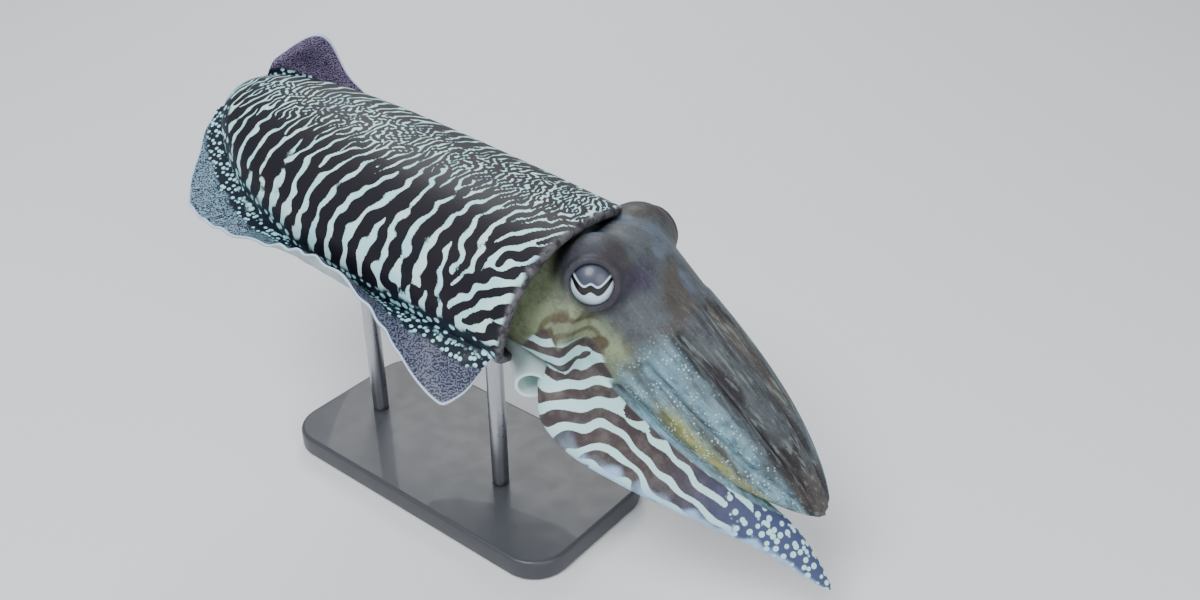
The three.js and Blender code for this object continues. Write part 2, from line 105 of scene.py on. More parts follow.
def frameOf(turn, origin):
    yaw, pitch, roll = (math.radians(a) for a in turn)
    m = Matrix.Rotation(yaw, 4, "Z") @ Matrix.Rotation(pitch, 4, "Y") @ Matrix.Rotation(roll, 4, "X")
    m.translation = origin
    return m


def place(m, points):
    a = np.array(m)
    return points @ a[:3, :3].T + a[:3, 3]


def unplace(m, points):
    return place(m.inverted(), points)


def turned(m, way):
    return np.array(m.to_3x3() @ Vector(way))


mantleFrame = frameOf(mantle["turn"], (0, 0, 0))
headFrame = frameOf(head["turn"], head["origin"])


def eyeFrame(sign, outwards=0.0):
    up, ahead = (math.radians(a) for a in head["eyeTurn"])
    axis = Vector((math.sin(ahead) * math.cos(up), sign * math.cos(ahead) * math.cos(up), math.sin(up)))
    turn = Vector((0, 0, 1)).rotation_difference(axis).to_matrix().to_4x4()
    x, y, z = head["eyePlace"]
    turn.translation = Vector((x, sign * y, z)) + axis * outwards
    return headFrame @ turn


# the right eye's solid tells how far the part's frame is from the neck
low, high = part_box("eye_right")
shift = np.array((low + high) / 2) * 1000 - np.array(eyeFrame(-1).translation)


def toRow(points):
    return (points + shift) * 0.001


def addPiece(name, mesh):
    piece = bpy.data.objects.new(name, mesh)
    bpy.context.scene.collection.objects.link(piece)
    return piece


def meshPiece(name, part):
    mesh = bpy.data.meshes.new(name)
    mesh.from_pydata([tuple(p) for p in toRow(np.array(part["points"]))], [], part["faces"])
    mesh.update()
    return addPiece(name, mesh)


def facedOutwards(piece):
    work = bmesh.new()
    work.from_mesh(piece.data)
    bmesh.ops.recalc_face_normals(work, faces=work.faces)
    work.to_mesh(piece.data)
    work.free()
    return piece


def shadedSmooth(piece):
    for p in piece.data.polygons:
        p.use_smooth = True
    return piece


def store(piece, name, values, kind="FLOAT"):
    data = piece.data.attributes.new(name, kind, "POINT")
    key = {"FLOAT": "value", "FLOAT_COLOR": "color", "FLOAT_VECTOR": "vector"}[kind]
    data.data.foreach_set(key, np.asarray(values, np.float32).ravel())


def baked(piece):
    # the same object with its modifiers turned into a plain mesh
    graph = bpy.context.evaluated_depsgraph_get()
    mesh = bpy.data.meshes.new_from_object(piece.evaluated_get(graph))
    piece.modifiers.clear()
    old = piece.data
    piece.data = mesh
    bpy.data.meshes.remove(old)
    return piece


def emptyPart():
    return {"points": [], "faces": []}


def loftPart(rings, into, nose=0.0):
    # a closed tube through rings of points, with a hub at each end
    rings = np.asarray(rings)
    n, k = rings.shape[:2]
    start = len(into["points"])
    into["points"] += [tuple(p) for p in rings.reshape(-1, 3)]
    first, last = start + n * k, start + n * k + 1
    into["points"] += [tuple(rings[0].mean(0) + nose), tuple(rings[-1].mean(0))]
    for r in range(n - 1):
        for j in range(k):
            a, b = start + r * k + j, start + r * k + (j + 1) % k
            into["faces"].append((a, b, b + k, a + k))
    for j in range(k):
        into["faces"].append((first, start + (j + 1) % k, start + j))
        into["faces"].append((last, start + (n - 1) * k + j, start + (n - 1) * k + (j + 1) % k))
    return into


# mantle and fins
def endCurve(t, full, power):
    return np.sqrt(1 - (1 - np.clip(t / full, 0, 1)) ** power)


def mantleWidth(t):
    return mantle["halfWidth"] * endCurve(t, mantle["widest"], 2.2)


def dorsalHeight(t):
    return mantle["dorsal"] * endCurve(t, mantle["tallest"], 1.9)


def ventralDepth(t):
    return mantle["ventral"] * endCurve(t, mantle["deepest"], 2.2)


def rimLead(angle):
    s, c = np.sin(angle), np.cos(angle)
    return (
        mantle["dorsalLead"] * np.maximum(0, s) ** 4
        - mantle["slant"] * c
        - mantle["ventralNotch"] * np.maximum(0, -s) ** 2
    )


def mantlePoint(t, angle, swell=0.0, lead=0.0):
    # t from the tail (0) to the neck (1), the angle from the left side over the back
    c, s = np.cos(angle), np.sin(angle)
    tall = np.where(s > 0, dorsalHeight(t), ventralDepth(t)) + swell
    y = (mantleWidth(t) + swell) * signedPower(c, mantle["square"])
    z = tall * signedPower(s, mantle["square"])
    turn = math.radians(mantle["twist"]) * (0.5 - t)
    sag = -mantle["sag"] * np.sin(math.pi * np.clip(t, 0, 1) ** 0.8)
    x = mantle["length"] * (t - 1) + lead * rimLead(angle)
    turnedY = y * np.cos(turn) - z * np.sin(turn)
    turnedZ = y * np.sin(turn) + z * np.cos(turn) + sag
    return place(mantleFrame, np.stack(np.broadcast_arrays(x, turnedY, turnedZ), -1))


def finDrop(t):
    return np.radians(16 + 18 * t)


def finEnds(t):
    tail = np.clip((t - fin["from"]) / 0.22 + 0.1, 0, 1) ** 0.7
    return tail * np.clip((fin["to"] - t) / 0.04 + 0.02, 0, 1) ** 0.5


# how far each fin lifts, in degrees, and how wide it is, along the body
finWave = {
    "right": {
        "slope": lambda t: -12 + 52 * bump(t, 0.6, 0.22) - 46 * bump(t, 0.96, 0.12),
        "reach": lambda t: 0.8 + 0.3 * bump(t, 0.22, 0.12) + 0.34 * bump(t, 0.95, 0.09),
    },
    "left": {
        "slope": lambda t: -24 + 92 * bump(t, 0.07, 0.12) + 36 * bump(t, 0.8, 0.07),
        "reach": lambda t: 0.85 + 2.1 * bump(t, 0.06, 0.055) + 0.2 * bump(t, 0.8, 0.07),
    },
}


def finPoint(side, t, v, face):
    # v from the fin's root (0) to its margin (1), on the upper face (1) or the lower one (-1)
    sign = 1 if side == "left" else -1
    angle = -finDrop(t) if side == "left" else math.pi + finDrop(t)
    lead = t**6
    root = mantlePoint(t, angle, -fin["sink"], lead)
    along = unit(mantlePoint(t + 0.01, angle, -fin["sink"], lead) - root)
    up = unit(mantlePoint(t, np.full_like(t, math.pi / 2)) - mantlePoint(t, np.full_like(t, -math.pi / 2)))
    out = unit(np.cross(up, along) * sign)
    lift = unit(np.cross(along, out) * sign)
    wave = finWave[side]
    width = (fin["sink"] + fin["width"] * finEnds(t) * wave["reach"](t))[..., None]
    slope = (np.radians(wave["slope"](t)) * smooth(0, 1, v + 0.15))[..., None]
    ripple = (fin["ripple"] * np.sin(t * 95 + 2 * np.sin(t * 23)) * v**2)[..., None]
    normal = lift * np.cos(slope) - out * np.sin(slope)
    thick = ((fin["rootThick"] + (fin["edgeThick"] - fin["rootThick"]) * v**0.6) / 2)[..., None]
    v = v[..., None]
    reach = out * width * v * np.cos(slope) + lift * width * v * np.sin(slope)
    return root + reach + normal * (ripple + thick * face)


skinSteps = {"along": 334, "backArc": 74, "finTop": 26, "finUnder": 17, "bellyArc": 22, "rim": 6, "pocket": 5}
finFoot = 0.12  # the share of the fin's width that its root's fillet takes


def sideColumns(side, t, presence):
    # columns of one side, from the middle of the back over the fin and back under it to the belly
    lead = t**6
    sign = 1 if side == "right" else -1
    root = math.pi + finDrop(t) if side == "right" else -finDrop(t)
    belly = math.pi * 1.5 if side == "right" else -math.pi / 2
    spread = sign * (fin["rootThick"] / 2 + 0.6) / np.maximum(mantleWidth(t), 8)
    shown = presence[:, None]
    columns = []

    def add(kind, value, angle, face=None):
        points = mantlePoint(t, angle, 0.0, lead)
        if face is not None:
            points = points * (1 - shown) + finPoint(side, t, np.full_like(t, value), face) * shown
        columns.append((points, value if side == "right" else -value, kind))

    for k in range(skinSteps["backArc"]):
        u = k / skinSteps["backArc"]
        add("back", u - 1, math.pi / 2 + (root - spread - math.pi / 2) * u)
    for k in range(skinSteps["finTop"] + 1):
        u = k / skinSteps["finTop"]
        add("fin", finFoot + (1 - finFoot) * u**0.9, root - spread * (1 - u), 1)
    for k in range(skinSteps["finUnder"] + 1):
        u = k / skinSteps["finUnder"]
        add("under", 1 - (1 - finFoot) * u, root + spread * u, -1)
    for k in range(skinSteps["bellyArc"] + (side == "right")):
        u = (k + 1) / (skinSteps["bellyArc"] + 1)
        add("belly", 1 + u, (root + spread) + (belly - root - spread) * u)
    return columns


def mantleGrid():
    s = np.linspace(0.006, 1, skinSteps["along"])
    t = 0.45 * (1 - np.cos(math.pi / 2 * s)) + 0.55 * s
    t = t * (1 - 1.5 / mantle["length"])
    fadesOut = smooth(fin["to"] - 0.012, fin["to"], t)
    presence = smooth(fin["from"] - 0.002, fin["from"] + 0.012, t) * (1 - fadesOut)
    columns = sideColumns("right", t, presence)
    rightCount = len(columns)
    columns += sideColumns("left", t, presence)[:0:-1]
    grid = np.stack([c[0] for c in columns], 1)
    across = np.array([c[1] for c in columns])
    kinds = np.array([c[2] for c in columns])
    # the fins' roots are eased into the body
    fillet = (np.isin(kinds, ("fin", "under")) & (np.abs(across) < 0.45)).astype(float)
    near = np.clip(sum(np.roll(fillet, k) for k in range(-2, 3)), 0, 1)
    for _ in range(6):
        relaxed = (np.roll(grid, 1, 1) + np.roll(grid, -1, 1)) / 2
        grid = grid + (relaxed - grid) * (0.5 * near)[None, :, None]
    for _ in range(2):
        relaxed = (grid[:-2] + grid[2:]) / 2
        grid[1:-1] += (relaxed - grid[1:-1]) * 0.5
    return t, grid, across, kinds, rightCount


def rimRings(last):
    # the rim rolls in, and a pocket behind it takes the neck
    forward = turned(mantleFrame, (1, 0, 0))
    centre = last.mean(0)
    inward = unit(centre - last - ((centre - last) @ forward)[:, None] * forward)
    made = []
    for k in range(1, skinSteps["rim"] + 1):
        a = math.pi * k / skinSteps["rim"]
        made.append(last + inward * mantle["wall"] / 2 * (1 - math.cos(a)) + forward * 1.6 * math.sin(a))
    for k in range(1, skinSteps["pocket"] + 1):
        back = (mantle["recess"] - 2.5) * k / skinSteps["pocket"]
        made.append(last + inward * mantle["wall"] - forward * back)
    mouth = made[-1]
    for k in range(1, skinSteps["pocket"] + 1):
        made.append(mouth + (mouth.mean(0) - mouth) * k / (skinSteps["pocket"] + 1))
    return made


t, body, across, kinds, rightCount = mantleGrid()
rows, cols = body.shape[:2]
rim = rimRings(body[-1])
tailTip = -1.2 * turned(mantleFrame, (1, 0, 0))
mantlePart = loftPart(np.concatenate([body, np.array(rim)], 0), emptyPart(), tailTip)
mantleSkin = shadedSmooth(facedOutwards(meshPiece("mantleSkin", mantlePart)))
print("mantle and fins", len(mantleSkin.data.vertices), "points")


# zebra stripes: waves that agree with their neighbours
def smoothNoise(points, size, seed, count=24):
    # a soft random value from -1 to 1 that changes over about this many millimetres
    r = np.random.default_rng(seed)
    waves = unit(r.normal(size=(count, 3))) * (2 * math.pi / size) * r.uniform(0.6, 1.2, (count, 1))
    return np.sin(points @ waves.T + r.uniform(0, 2 * math.pi, count)).sum(1) / math.sqrt(count / 2) * 0.7


def smoothNoises(points, size, seeds):
    return np.stack([smoothNoise(points, size, seed) for seed in seeds], 1)


def zebraWaves(points, wave, period, weight, seed, reach=1.15, sweeps=14):
    # The cosine of a phase, for stripes that cross the wave directions. Kernels sit on the skin and
    # take their neighbours' phase, so that the stripes run on, and fork where their spacing changes.
    r = np.random.default_rng(seed)
    chance = weight / period**2
    count = min(2600, int(chance.sum() * 0.9))
    pick = r.choice(len(points), count, replace=False, p=chance / chance.sum())
    at, size = points[pick], period[pick]
    vector = wave[pick] * (2 * math.pi / size)[:, None]
    phase = np.exp(1j * r.uniform(0, 2 * math.pi, count))
    gap = at[:, None, :] - at[None, :, :]
    fall = np.exp(-(gap**2).sum(2) / (reach * 1.3 * size[None, :]) ** 2)
    link = (fall * np.exp(1j * (gap * vector[None, :, :]).sum(2))).astype(np.complex64)
    np.fill_diagonal(link, 0)
    for _ in range(sweeps):
        pull = link @ phase
        phase = pull / np.maximum(np.abs(pull), 1e-9)
    total = np.zeros(len(points), complex)
    for k in range(count):
        away = points - at[k]
        distance2 = (away**2).sum(1)
        close = np.nonzero(distance2 < (2.6 * reach * size[k]) ** 2)[0]
        strength = np.exp(-distance2[close] / (reach * size[k]) ** 2)
        total[close] += strength * phase[k] * np.exp(1j * (away[close] @ vector[k]))
    return total.real / np.maximum(np.abs(total), 1e-9)


zebra = {
    "flankPeriod": 11.5,  # millimetres, one dark and one pale stripe
    "bandPeriod": 3.4,
    "bandHalfWidth": 11,
    "wobble": 1.0,
    "wobbleSize": 9,
    "rosette": (0.86, 192),  # share of the length, angle: here the stripes start to fan out
    "pale": 0.26,  # the pale stripes' share of the period
    "paleLow": 0.09,  # and how much more of it they take low on the flank
    "seed": 7,
}


def fanDirections(skin, along, around, isRight):
    # across the body behind the rosette, and fanning out from it towards the rim
    share, angle = zebra["rosette"]
    right = mantlePoint(np.array([share]), np.radians(angle))[0]
    left = mantlePoint(np.array([share]), np.radians(180 - angle))[0]
    away = skin - np.where(isRight[:, None], right, left)
    ahead = (away * along).sum(1)
    aside = (away * around).sum(1)
    turnIn = smooth(0, 26, ahead)
    radial = np.arctan2(aside, np.maximum(ahead, 0.5))
    angle = np.where(aside >= 0, 1.0, -1.0) * math.pi / 2 * (1 - turnIn) + radial * turnIn
    return np.cos(angle)[:, None] * along + np.sin(angle)[:, None] * around


def markMantle():
    skin = body.reshape(-1, 3)
    alongStep = np.gradient(body, axis=0)
    along = unit(alongStep).reshape(-1, 3)
    around = unit(np.roll(body, -1, 1) - np.roll(body, 1, 1)).reshape(-1, 3)
    share = np.repeat(t, cols)
    isRight = np.tile(np.arange(cols) < rightCount, rows)
    kind = np.tile(kinds, rows)
    edge = np.tile(np.abs(across), rows)

    # how far round from the middle of the back, in millimetres
    stepLength = np.linalg.norm(np.roll(body, -1, 1) - body, axis=2)
    rightRound = np.cumsum(stepLength, 1)[:, : rightCount - 1]
    leftRound = np.cumsum(stepLength[:, rightCount - 1 :][:, ::-1], 1)[:, : cols - rightCount][:, ::-1]
    roundGrid = np.concatenate([np.zeros((rows, 1)), rightRound, leftRound], 1)
    fromBack = roundGrid.ravel()

    # a band of fine marks along the back, wide stripes on the flanks
    half = zebra["bandHalfWidth"] * smooth(0.02, 0.3, share) * (1 - 0.35 * smooth(0.8, 1, share))
    inBand = 1 - smooth(half * 0.8, half * 1.5 + 3, fromBack + 3 * smoothNoise(skin, 26, 5))
    widening = smooth(0, 34, fromBack - half)
    period = zebra["bandPeriod"] + (zebra["flankPeriod"] - zebra["bandPeriod"]) * widening
    period = period * (1 - 0.32 * smooth(0.78, 0.92, share))
    tangled = 1.4 * smoothNoise(skin, 7, 12)[:, None] * along
    tangled = tangled + 0.7 * smoothNoise(skin, 7, 13)[:, None] * around
    lines = fanDirections(skin, along, around, isRight)
    lines = unit(lines + 0.28 * smoothNoise(skin, 40, 11)[:, None] * along + inBand[:, None] * tangled)
    wave = unit(np.cross(unit(np.cross(along, around)), lines))
    area = (stepLength * np.linalg.norm(alongStep, axis=2)).ravel()
    onBody = (kind == "back") | ((kind == "fin") & (edge < 0.4))
    warped = skin + zebra["wobble"] * smoothNoises(skin, zebra["wobbleSize"], (21, 22, 23))
    stripe = zebraWaves(warped, wave, period, area * onBody, zebra["seed"])
    pale = zebra["pale"] + zebra["paleLow"] * smooth(20, 80, fromBack) + 0.03 * smoothNoise(skin, 30, 31)
    pale = pale + 0.1 * inBand + 0.06 * smooth(0.8, 0.92, share)
    stripe = stripe - np.cos(math.pi * pale)
    stripe -= 0.5 * smooth(0.75, 1.3, smoothNoise(skin, 12, 33)) * (1 - inBand)

    # millimetres outwards from the fin's root; the belt of dots climbs a little near the tail
    rootColumn = np.where(np.arange(cols) < rightCount, skinSteps["backArc"], cols - skinSteps["backArc"])
    fromRoot = roundGrid - roundGrid[:, rootColumn]
    tail = t[:, None]
    farSide = np.arange(cols)[None, :] >= rightCount
    climb = 9 * smooth(0.3, 0.06, tail) + 5 * farSide * smooth(0.6, 0.35, tail)
    fromRoot = fromRoot + climb * smooth(6, -4, fromRoot)

    def padded(values, fill, rimFill=None):
        # the outer skin's values, then those of the rim and the pocket, then the two hubs
        values = np.reshape(values, (rows, cols))
        inner = np.repeat(values[-1:], len(rim), 0) if rimFill is None else np.full((len(rim), cols), rimFill)
        return np.concatenate([values.ravel(), inner.ravel(), [fill, fill]])

    collar = smooth(0.988, 0.997, share + 0.004 * smoothNoise(skin, 9, 35))
    tip = smooth(0.05, 0.02, share + 0.01 * smoothNoise(skin, 12, 36)) * smooth(24, 12, fromBack)
    # the pocket past the rim's roll is painted dark as shade
    pocket = np.repeat(np.clip((np.arange(len(rim)) - 3) / 3, 0, 1), cols)
    store(mantleSkin, "stripe", padded(stripe, -1))
    store(mantleSkin, "finEdge", padded(fromRoot, 0))
    store(mantleSkin, "finWidth", padded(np.where(np.isin(kind, ("fin", "under")), edge, 0.0), 0))
    store(mantleSkin, "collar", padded(collar, 0, 1))
    store(mantleSkin, "tip", padded(tip, 1))
    store(mantleSkin, "under", padded(np.isin(kind, ("under", "belly")).astype(float), 1))
    store(mantleSkin, "tail", padded(share, 0))
    store(mantleSkin, "side", padded(np.where(isRight, 1.0, -1.0), 0))
    store(mantleSkin, "pocket", np.concatenate([np.zeros(rows * cols), pocket, [0, 1]]))


markMantle()
print("mantle stripes")

# head and arms
skull = {
    "rings": 40,
    "sides": 96,
    "square": 0.9,
    "armSides": 30,
    "armRings": 84,
    "voxel": 0.00105,
    "meltTo": 62,  # millimetres along the head where the melting together ends
    "meltFade": 18,
    "melt": 26,  # rounds of smoothing
    "soften": 4,
}
# name, middle and half spread round the crown from the back rightwards, length
armPlan = [
    ("arm_right_1", 21, 20, 0.97),
    ("arm_right_2", 62, 20, 1.0),
    ("arm_right_3", 103, 20, 0.98),
    ("arm_left_1", -21, 20, 0.96),
    ("arm_left_2", -62, 20, 0.99),
    ("arm_left_3", -103, 20, 0.98),
    ("arm_left_4", -145, 21, 1.0),
]
bladePlan = {
    "path": [
        (33, -34, -29),
        (52, -39, -31),
        (70, -39, -30),
        (93, -34, -25),
        (119, -26, -19),
        (142, -19, -14),
        (167, -13, -10),
        (198, -10, -9),
    ],
    "halfWidth": 17.5,
    "halfThick": 9,
    "web": 0.4,
    "out": np.array((0, -0.78, -0.62)),
    "thin": np.array((0, 0.62, -0.78)),
    "rings": 120,
    "sides": 40,
}


def headSwell(u):
    return np.sqrt(np.sin(math.pi / 2 * np.clip(u / 0.45 + 0.2, 0, 1)))


def fullTurn(sides):
    return np.linspace(0, 2 * math.pi, sides, endpoint=False)


def oval(x, half, tall):
    a = fullTurn(skull["sides"])
    y = half * signedPower(np.cos(a), skull["square"])
    return np.stack([np.full(len(a), x), y, tall * signedPower(np.sin(a), skull["square"])], 1)


def crownAxis(s):
    s = np.asarray(s, float)
    x = head["length"] - crown["overlap"] + crown["reach"] * s
    return np.stack([x, crown["bendY"] * s**2, crown["lift"] + crown["bendZ"] * s**2], -1)


def crownShare(x, most=1.0):
    return np.clip((x - head["length"] + crown["overlap"]) / crown["reach"], 0, most)


def crownRadius(s):
    return crown["radius"] * (1 - s**2.4) ** 0.75 + crown["tip"]


def crownPoint(s, angle, radius):
    p = np.array(np.broadcast_to(crownAxis(s), np.shape(angle) + (3,)))
    p[..., 1] -= radius * np.sin(angle)
    p[..., 2] += radius * np.cos(angle) * crown["flat"]
    return p


def armSection(plan, s):
    # how far in and out an arm reaches here, its half spread and how full it is
    _, _, spread, length = plan
    full = (1 - (s / (length + 0.02)) ** 3) ** 0.6
    outer = crownRadius(s)
    inner = outer * (0.42 - 0.12 * s)
    return inner, outer, math.radians(spread) * (0.55 + 0.45 * full), full


def armRing(plan, s):
    inner, outer, half, full = armSection(plan, s)
    a = fullTurn(skull["armSides"])
    outwards = 0.5 + 0.5 * signedPower(np.sin(a), 0.75) * (0.7 + 0.3 * full)
    angle = math.radians(plan[1]) + signedPower(np.cos(a), 0.75) * half
    return crownPoint(s, angle, inner + (outer - inner) * outwards)


def splineThrough(points, count):
    # evenly spaced points on a smooth curve through these
    p = np.array(points, float)
    p = np.concatenate([[2 * p[0] - p[1]], p, [2 * p[-1] - p[-2]]])
    u = np.linspace(0, 1, 60, endpoint=False)[:, None]
    out = []
    for a, b, c, d in zip(p, p[1:], p[2:], p[3:]):
        bend = (2 * a - 5 * b + 4 * c - d) * u**2 + (3 * b - a - 3 * c + d) * u**3
        out.append(0.5 * (2 * b + (c - a) * u + bend))
    line = np.concatenate(out + [p[-2][None]])
    length = np.concatenate([[0], np.cumsum(np.linalg.norm(np.diff(line, axis=0), axis=1))])
    even = np.linspace(0, length[-1], count)
    return np.stack([np.interp(even, length, line[:, k]) for k in range(3)], 1)


bladeLine = splineThrough(bladePlan["path"], bladePlan["rings"])
bladeShare = np.linspace(0, 1, bladePlan["rings"])
bladeTaper = np.clip(bladeShare / 0.16 + 0.45, 0, 1) ** 0.7 * (1 - bladeShare**2.6) ** 0.8 + 0.03


def bladeSpot(u, a):
    # a point of the blade's skin at the share u of its length, a round its section
    i = int(round(u * (len(bladeLine) - 1)))
    a = np.atleast_1d(a)
    width = bladePlan["halfWidth"] * (1 + bladePlan["web"] * smooth(0.65, 0.35, u) * (np.cos(a) < 0))
    return (
        bladeLine[i]
        + bladePlan["out"] * (width * bladeTaper[i] * np.cos(a))[:, None]
        + bladePlan["thin"] * (bladePlan["halfThick"] * bladeTaper[i] * np.sin(a))[:, None]
    )


def sphereRings(frameAt, radius, rings=40, sides=72):
    a = fullTurn(sides)
    made = []
    for f in np.linspace(0.01, math.pi - 0.01, rings):
        x, y = radius * np.sin(f) * np.cos(a), radius * np.sin(f) * np.sin(a)
        made.append(place(frameAt, np.stack([x, y, np.full(sides, -radius * math.cos(f))], 1)))
    return made


def torusPart(frameAt, major, minor, into, sides=72, section=20):
    start = len(into["points"])
    b = fullTurn(section)
    r = major + minor * np.cos(b)
    for a in fullTurn(sides):
        ring = np.stack([r * math.cos(a), r * math.sin(a), minor * np.sin(b)], 1)
        into["points"] += [tuple(p) for p in place(frameAt, ring)]
    for i in range(sides):
        here, there = start + i * section, start + (i + 1) % sides * section
        for j in range(section):
            k = (j + 1) % section
            into["faces"].append((here + j, there + j, there + k, here + k))


def headParts():
    part = emptyPart()
    skullRings = []
    for u in np.linspace(0, 1, skull["rings"]):
        half = head["halfWidth"] * headSwell(u) * (1 - 0.04 * u * u)
        tall = head["halfHeight"] * headSwell(u) * (1 - 0.06 * u * u)
        skullRings.append(place(headFrame, oval(head["length"] * u, half, tall)))
    loftPart(skullRings, part)
    loftPart([place(mantleFrame, oval(x, *head["neck"])) for x in np.linspace(-15.5, 26, 12)], part)
    for plan in armPlan:
        steps = np.linspace(0, plan[3], skull["armRings"])
        loftPart([place(headFrame, armRing(plan, s)) for s in steps], part)
    around = fullTurn(bladePlan["sides"])
    loftPart([place(headFrame, bladeSpot(u, around)) for u in bladeShare], part)
    for sign in (1, -1):
        loftPart(sphereRings(eyeFrame(sign, -head["domeSink"]), head["dome"]), part)
    return part


def oneSkin(piece):
    remesh = piece.modifiers.new("one skin", "REMESH")
    remesh.mode = "VOXEL"
    remesh.voxel_size = skull["voxel"]
    remesh.adaptivity = 0


def meshArrays(piece):
    mesh = piece.data
    points = np.zeros(len(mesh.vertices) * 3, np.float32)
    normals = np.zeros(len(mesh.vertices) * 3, np.float32)
    mesh.vertices.foreach_get("co", points)
    mesh.vertices.foreach_get("normal", normals)
    return points.reshape(-1, 3).astype(float) * 1000 - shift, normals.reshape(-1, 3).astype(float)


def meltedHead():
    # the skull, the neck, the eye domes and the arms' roots flow into each other
    blended = meshPiece("blended", headParts())
    oneSkin(blended)
    baked(blended)
    reached = unplace(headFrame, meshArrays(blended)[0])[:, 0]
    end = skull["meltTo"]
    softer = blended.vertex_groups.new(name="softer")
    for i in np.nonzero(reached < end)[0]:
        softer.add([int(i)], float(smooth(end, end - skull["meltFade"], reached[i])), "REPLACE")
    melt = blended.modifiers.new("melt", "SMOOTH")
    melt.factor = 0.5
    melt.iterations = skull["melt"]
    melt.vertex_group = "softer"
    baked(blended)
    part = {
        "points": [tuple(p) for p in meshArrays(blended)[0]],
        "faces": [tuple(p.vertices) for p in blended.data.polygons],
    }
    bpy.data.objects.remove(blended)
    return part


# radians round the ball to where the room opens, then how wide and how far out its flare ends
eyeRoom = {"slack": 0.3, "opens": 2.31, "flareWiden": 4, "flareEnd": 30.5}


def cutEyeRoom(piece, sign):
    # a round room for the ball, with a flared opening
    room = head["eyeRadius"] + eyeRoom["slack"]
    profile = [(room * math.sin(f), -room * math.cos(f)) for f in np.linspace(0.02, eyeRoom["opens"], 40)]
    profile.append((head["opening"] + eyeRoom["flareWiden"], eyeRoom["flareEnd"]))
    a = fullTurn(96)
    rings = [np.stack([r * np.cos(a), r * np.sin(a), np.full(96, z)], 1) for r, z in profile]
    tool = facedOutwards(
        meshPiece("eyeRoom", loftPart([place(eyeFrame(sign), ring) for ring in rings], emptyPart()))
    )
    cutting = piece.modifiers.new("cut", "BOOLEAN")
    cutting.operation = "DIFFERENCE"
    cutting.solver = "EXACT"
    cutting.object = tool
    baked(piece)
    bpy.data.objects.remove(tool)


def makeHead():
    part = meltedHead()
    # the lids join last and stay crisp
    for sign in (1, -1):
        lidFrame = eyeFrame(sign, head["eyeRadius"] - head["lidSink"])
        torusPart(lidFrame, head["opening"] + 1, head["lid"], part)
    piece = meshPiece("headSkin", part)
    oneSkin(piece)
    soften = piece.modifiers.new("soften", "SMOOTH")
    soften.factor = 0.5
    soften.iterations = skull["soften"]
    baked(piece)
    for sign in (1, -1):
        cutEyeRoom(piece, sign)
    return shadedSmooth(piece)


headSkin = makeHead()
print("head skin", len(headSkin.data.vertices), "points")


def paint(*rgb):
    # a colour as seen on a screen, 0 to 255, as the linear colour that a shader takes
    linear = [((c / 255 + 0.055) / 1.055) ** 2.4 if c > 10 else c / 255 / 12.92 for c in rgb]
    return np.array(linear + [1.0])


headPaints = {
    "top": paint(76, 82, 86),
    "brown": paint(74, 68, 62),
    "cheek": paint(136, 148, 116),
    "cheekBrown": paint(84, 76, 58),
    "patch": paint(56, 46, 74),
    "blue": paint(88, 100, 116),
    "armBlue": paint(118, 156, 172),
    "armYellow": paint(150, 150, 70),
    # dark streaks, and painted shade in the fold round the eye and the grooves between the arms
    "streakAndShade": paint(40, 35, 40),
    "paleStreak": paint(134, 146, 142),
    "belly": paint(176, 196, 196),
    "band": paint(64, 54, 56),
    "bandWorn": paint(88, 82, 80),
    "bandPale": paint(186, 228, 230),
    "keel": paint(168, 204, 238),
    "dotGround": paint(66, 76, 112),
    "speck": paint(178, 206, 212),
    "lidRing": paint(40, 36, 52),
}
headMarks = {
    "cheekPeriod": 10.0,  # millimetres, one dark and one pale band
    "bladePeriod": 8.4,
    "wobble": 1.1,
    "seed": 8,
    # angle from the middle of the back, and strength, of the painted shade in the grooves between the arms
    "grooves": ((0, 0.8), (41.5, 0.9), (82.5, 0.2), (124, 0.35)),
    "grooveWidth": 2.4,
    "dotsFrom": 0.66,  # share of the blade's length where its bands break up into dots
    "yellowAt": 92,
}


def onBlade(inHead):
    # whether each point is on the blade, how far along it, and how far out towards its keel
    away = np.linalg.norm(inHead[:, None, :].astype(np.float32) - bladeLine[None].astype(np.float32), axis=2)
    nearest = away.argmin(1)
    along = nearest / (len(bladeLine) - 1)
    across = (inHead - bladeLine[nearest]) @ bladePlan["out"] / bladePlan["halfWidth"]
    x, y, z = inHead.T
    fromAxis = np.linalg.norm(inHead[:, 1:] - crownAxis(crownShare(x))[:, 1:], axis=1)
    outside = smooth(-2.5, 2.5, fromAxis - (crownRadius(crownShare(x, 0.999)) + 0.8))
    ceiling = z + 8 - 12 * smooth(135, 158, x)
    return outside * smooth(8, 0, ceiling) * smooth(4, -6, y) * smooth(20, 40, x), along, across


def bandHeight(points, normals, zone, alongBlade):
    # bands go round the cheek and run along the blade
    rings = unit(np.cross(normals, turned(headFrame, (1, 0, 0))))
    rings *= np.sign((rings @ turned(headFrame, (0, 0, 1))) + 1e-6)[:, None]
    forward = turned(headFrame, (1, 0.12, 0.1))
    lines = unit((rings + 0.8 * forward) * (1 - alongBlade)[:, None] + forward * alongBlade[:, None])
    wave = unit(np.cross(normals, lines))
    period = headMarks["cheekPeriod"] + (headMarks["bladePeriod"] - headMarks["cheekPeriod"]) * alongBlade
    warped = points + headMarks["wobble"] * smoothNoises(points, 13, (63, 64, 65))
    bands = zebraWaves(warped, wave, period, (zone > 0.02).astype(float), headMarks["seed"])
    return bands - 0.05 - 0.35 * alongBlade


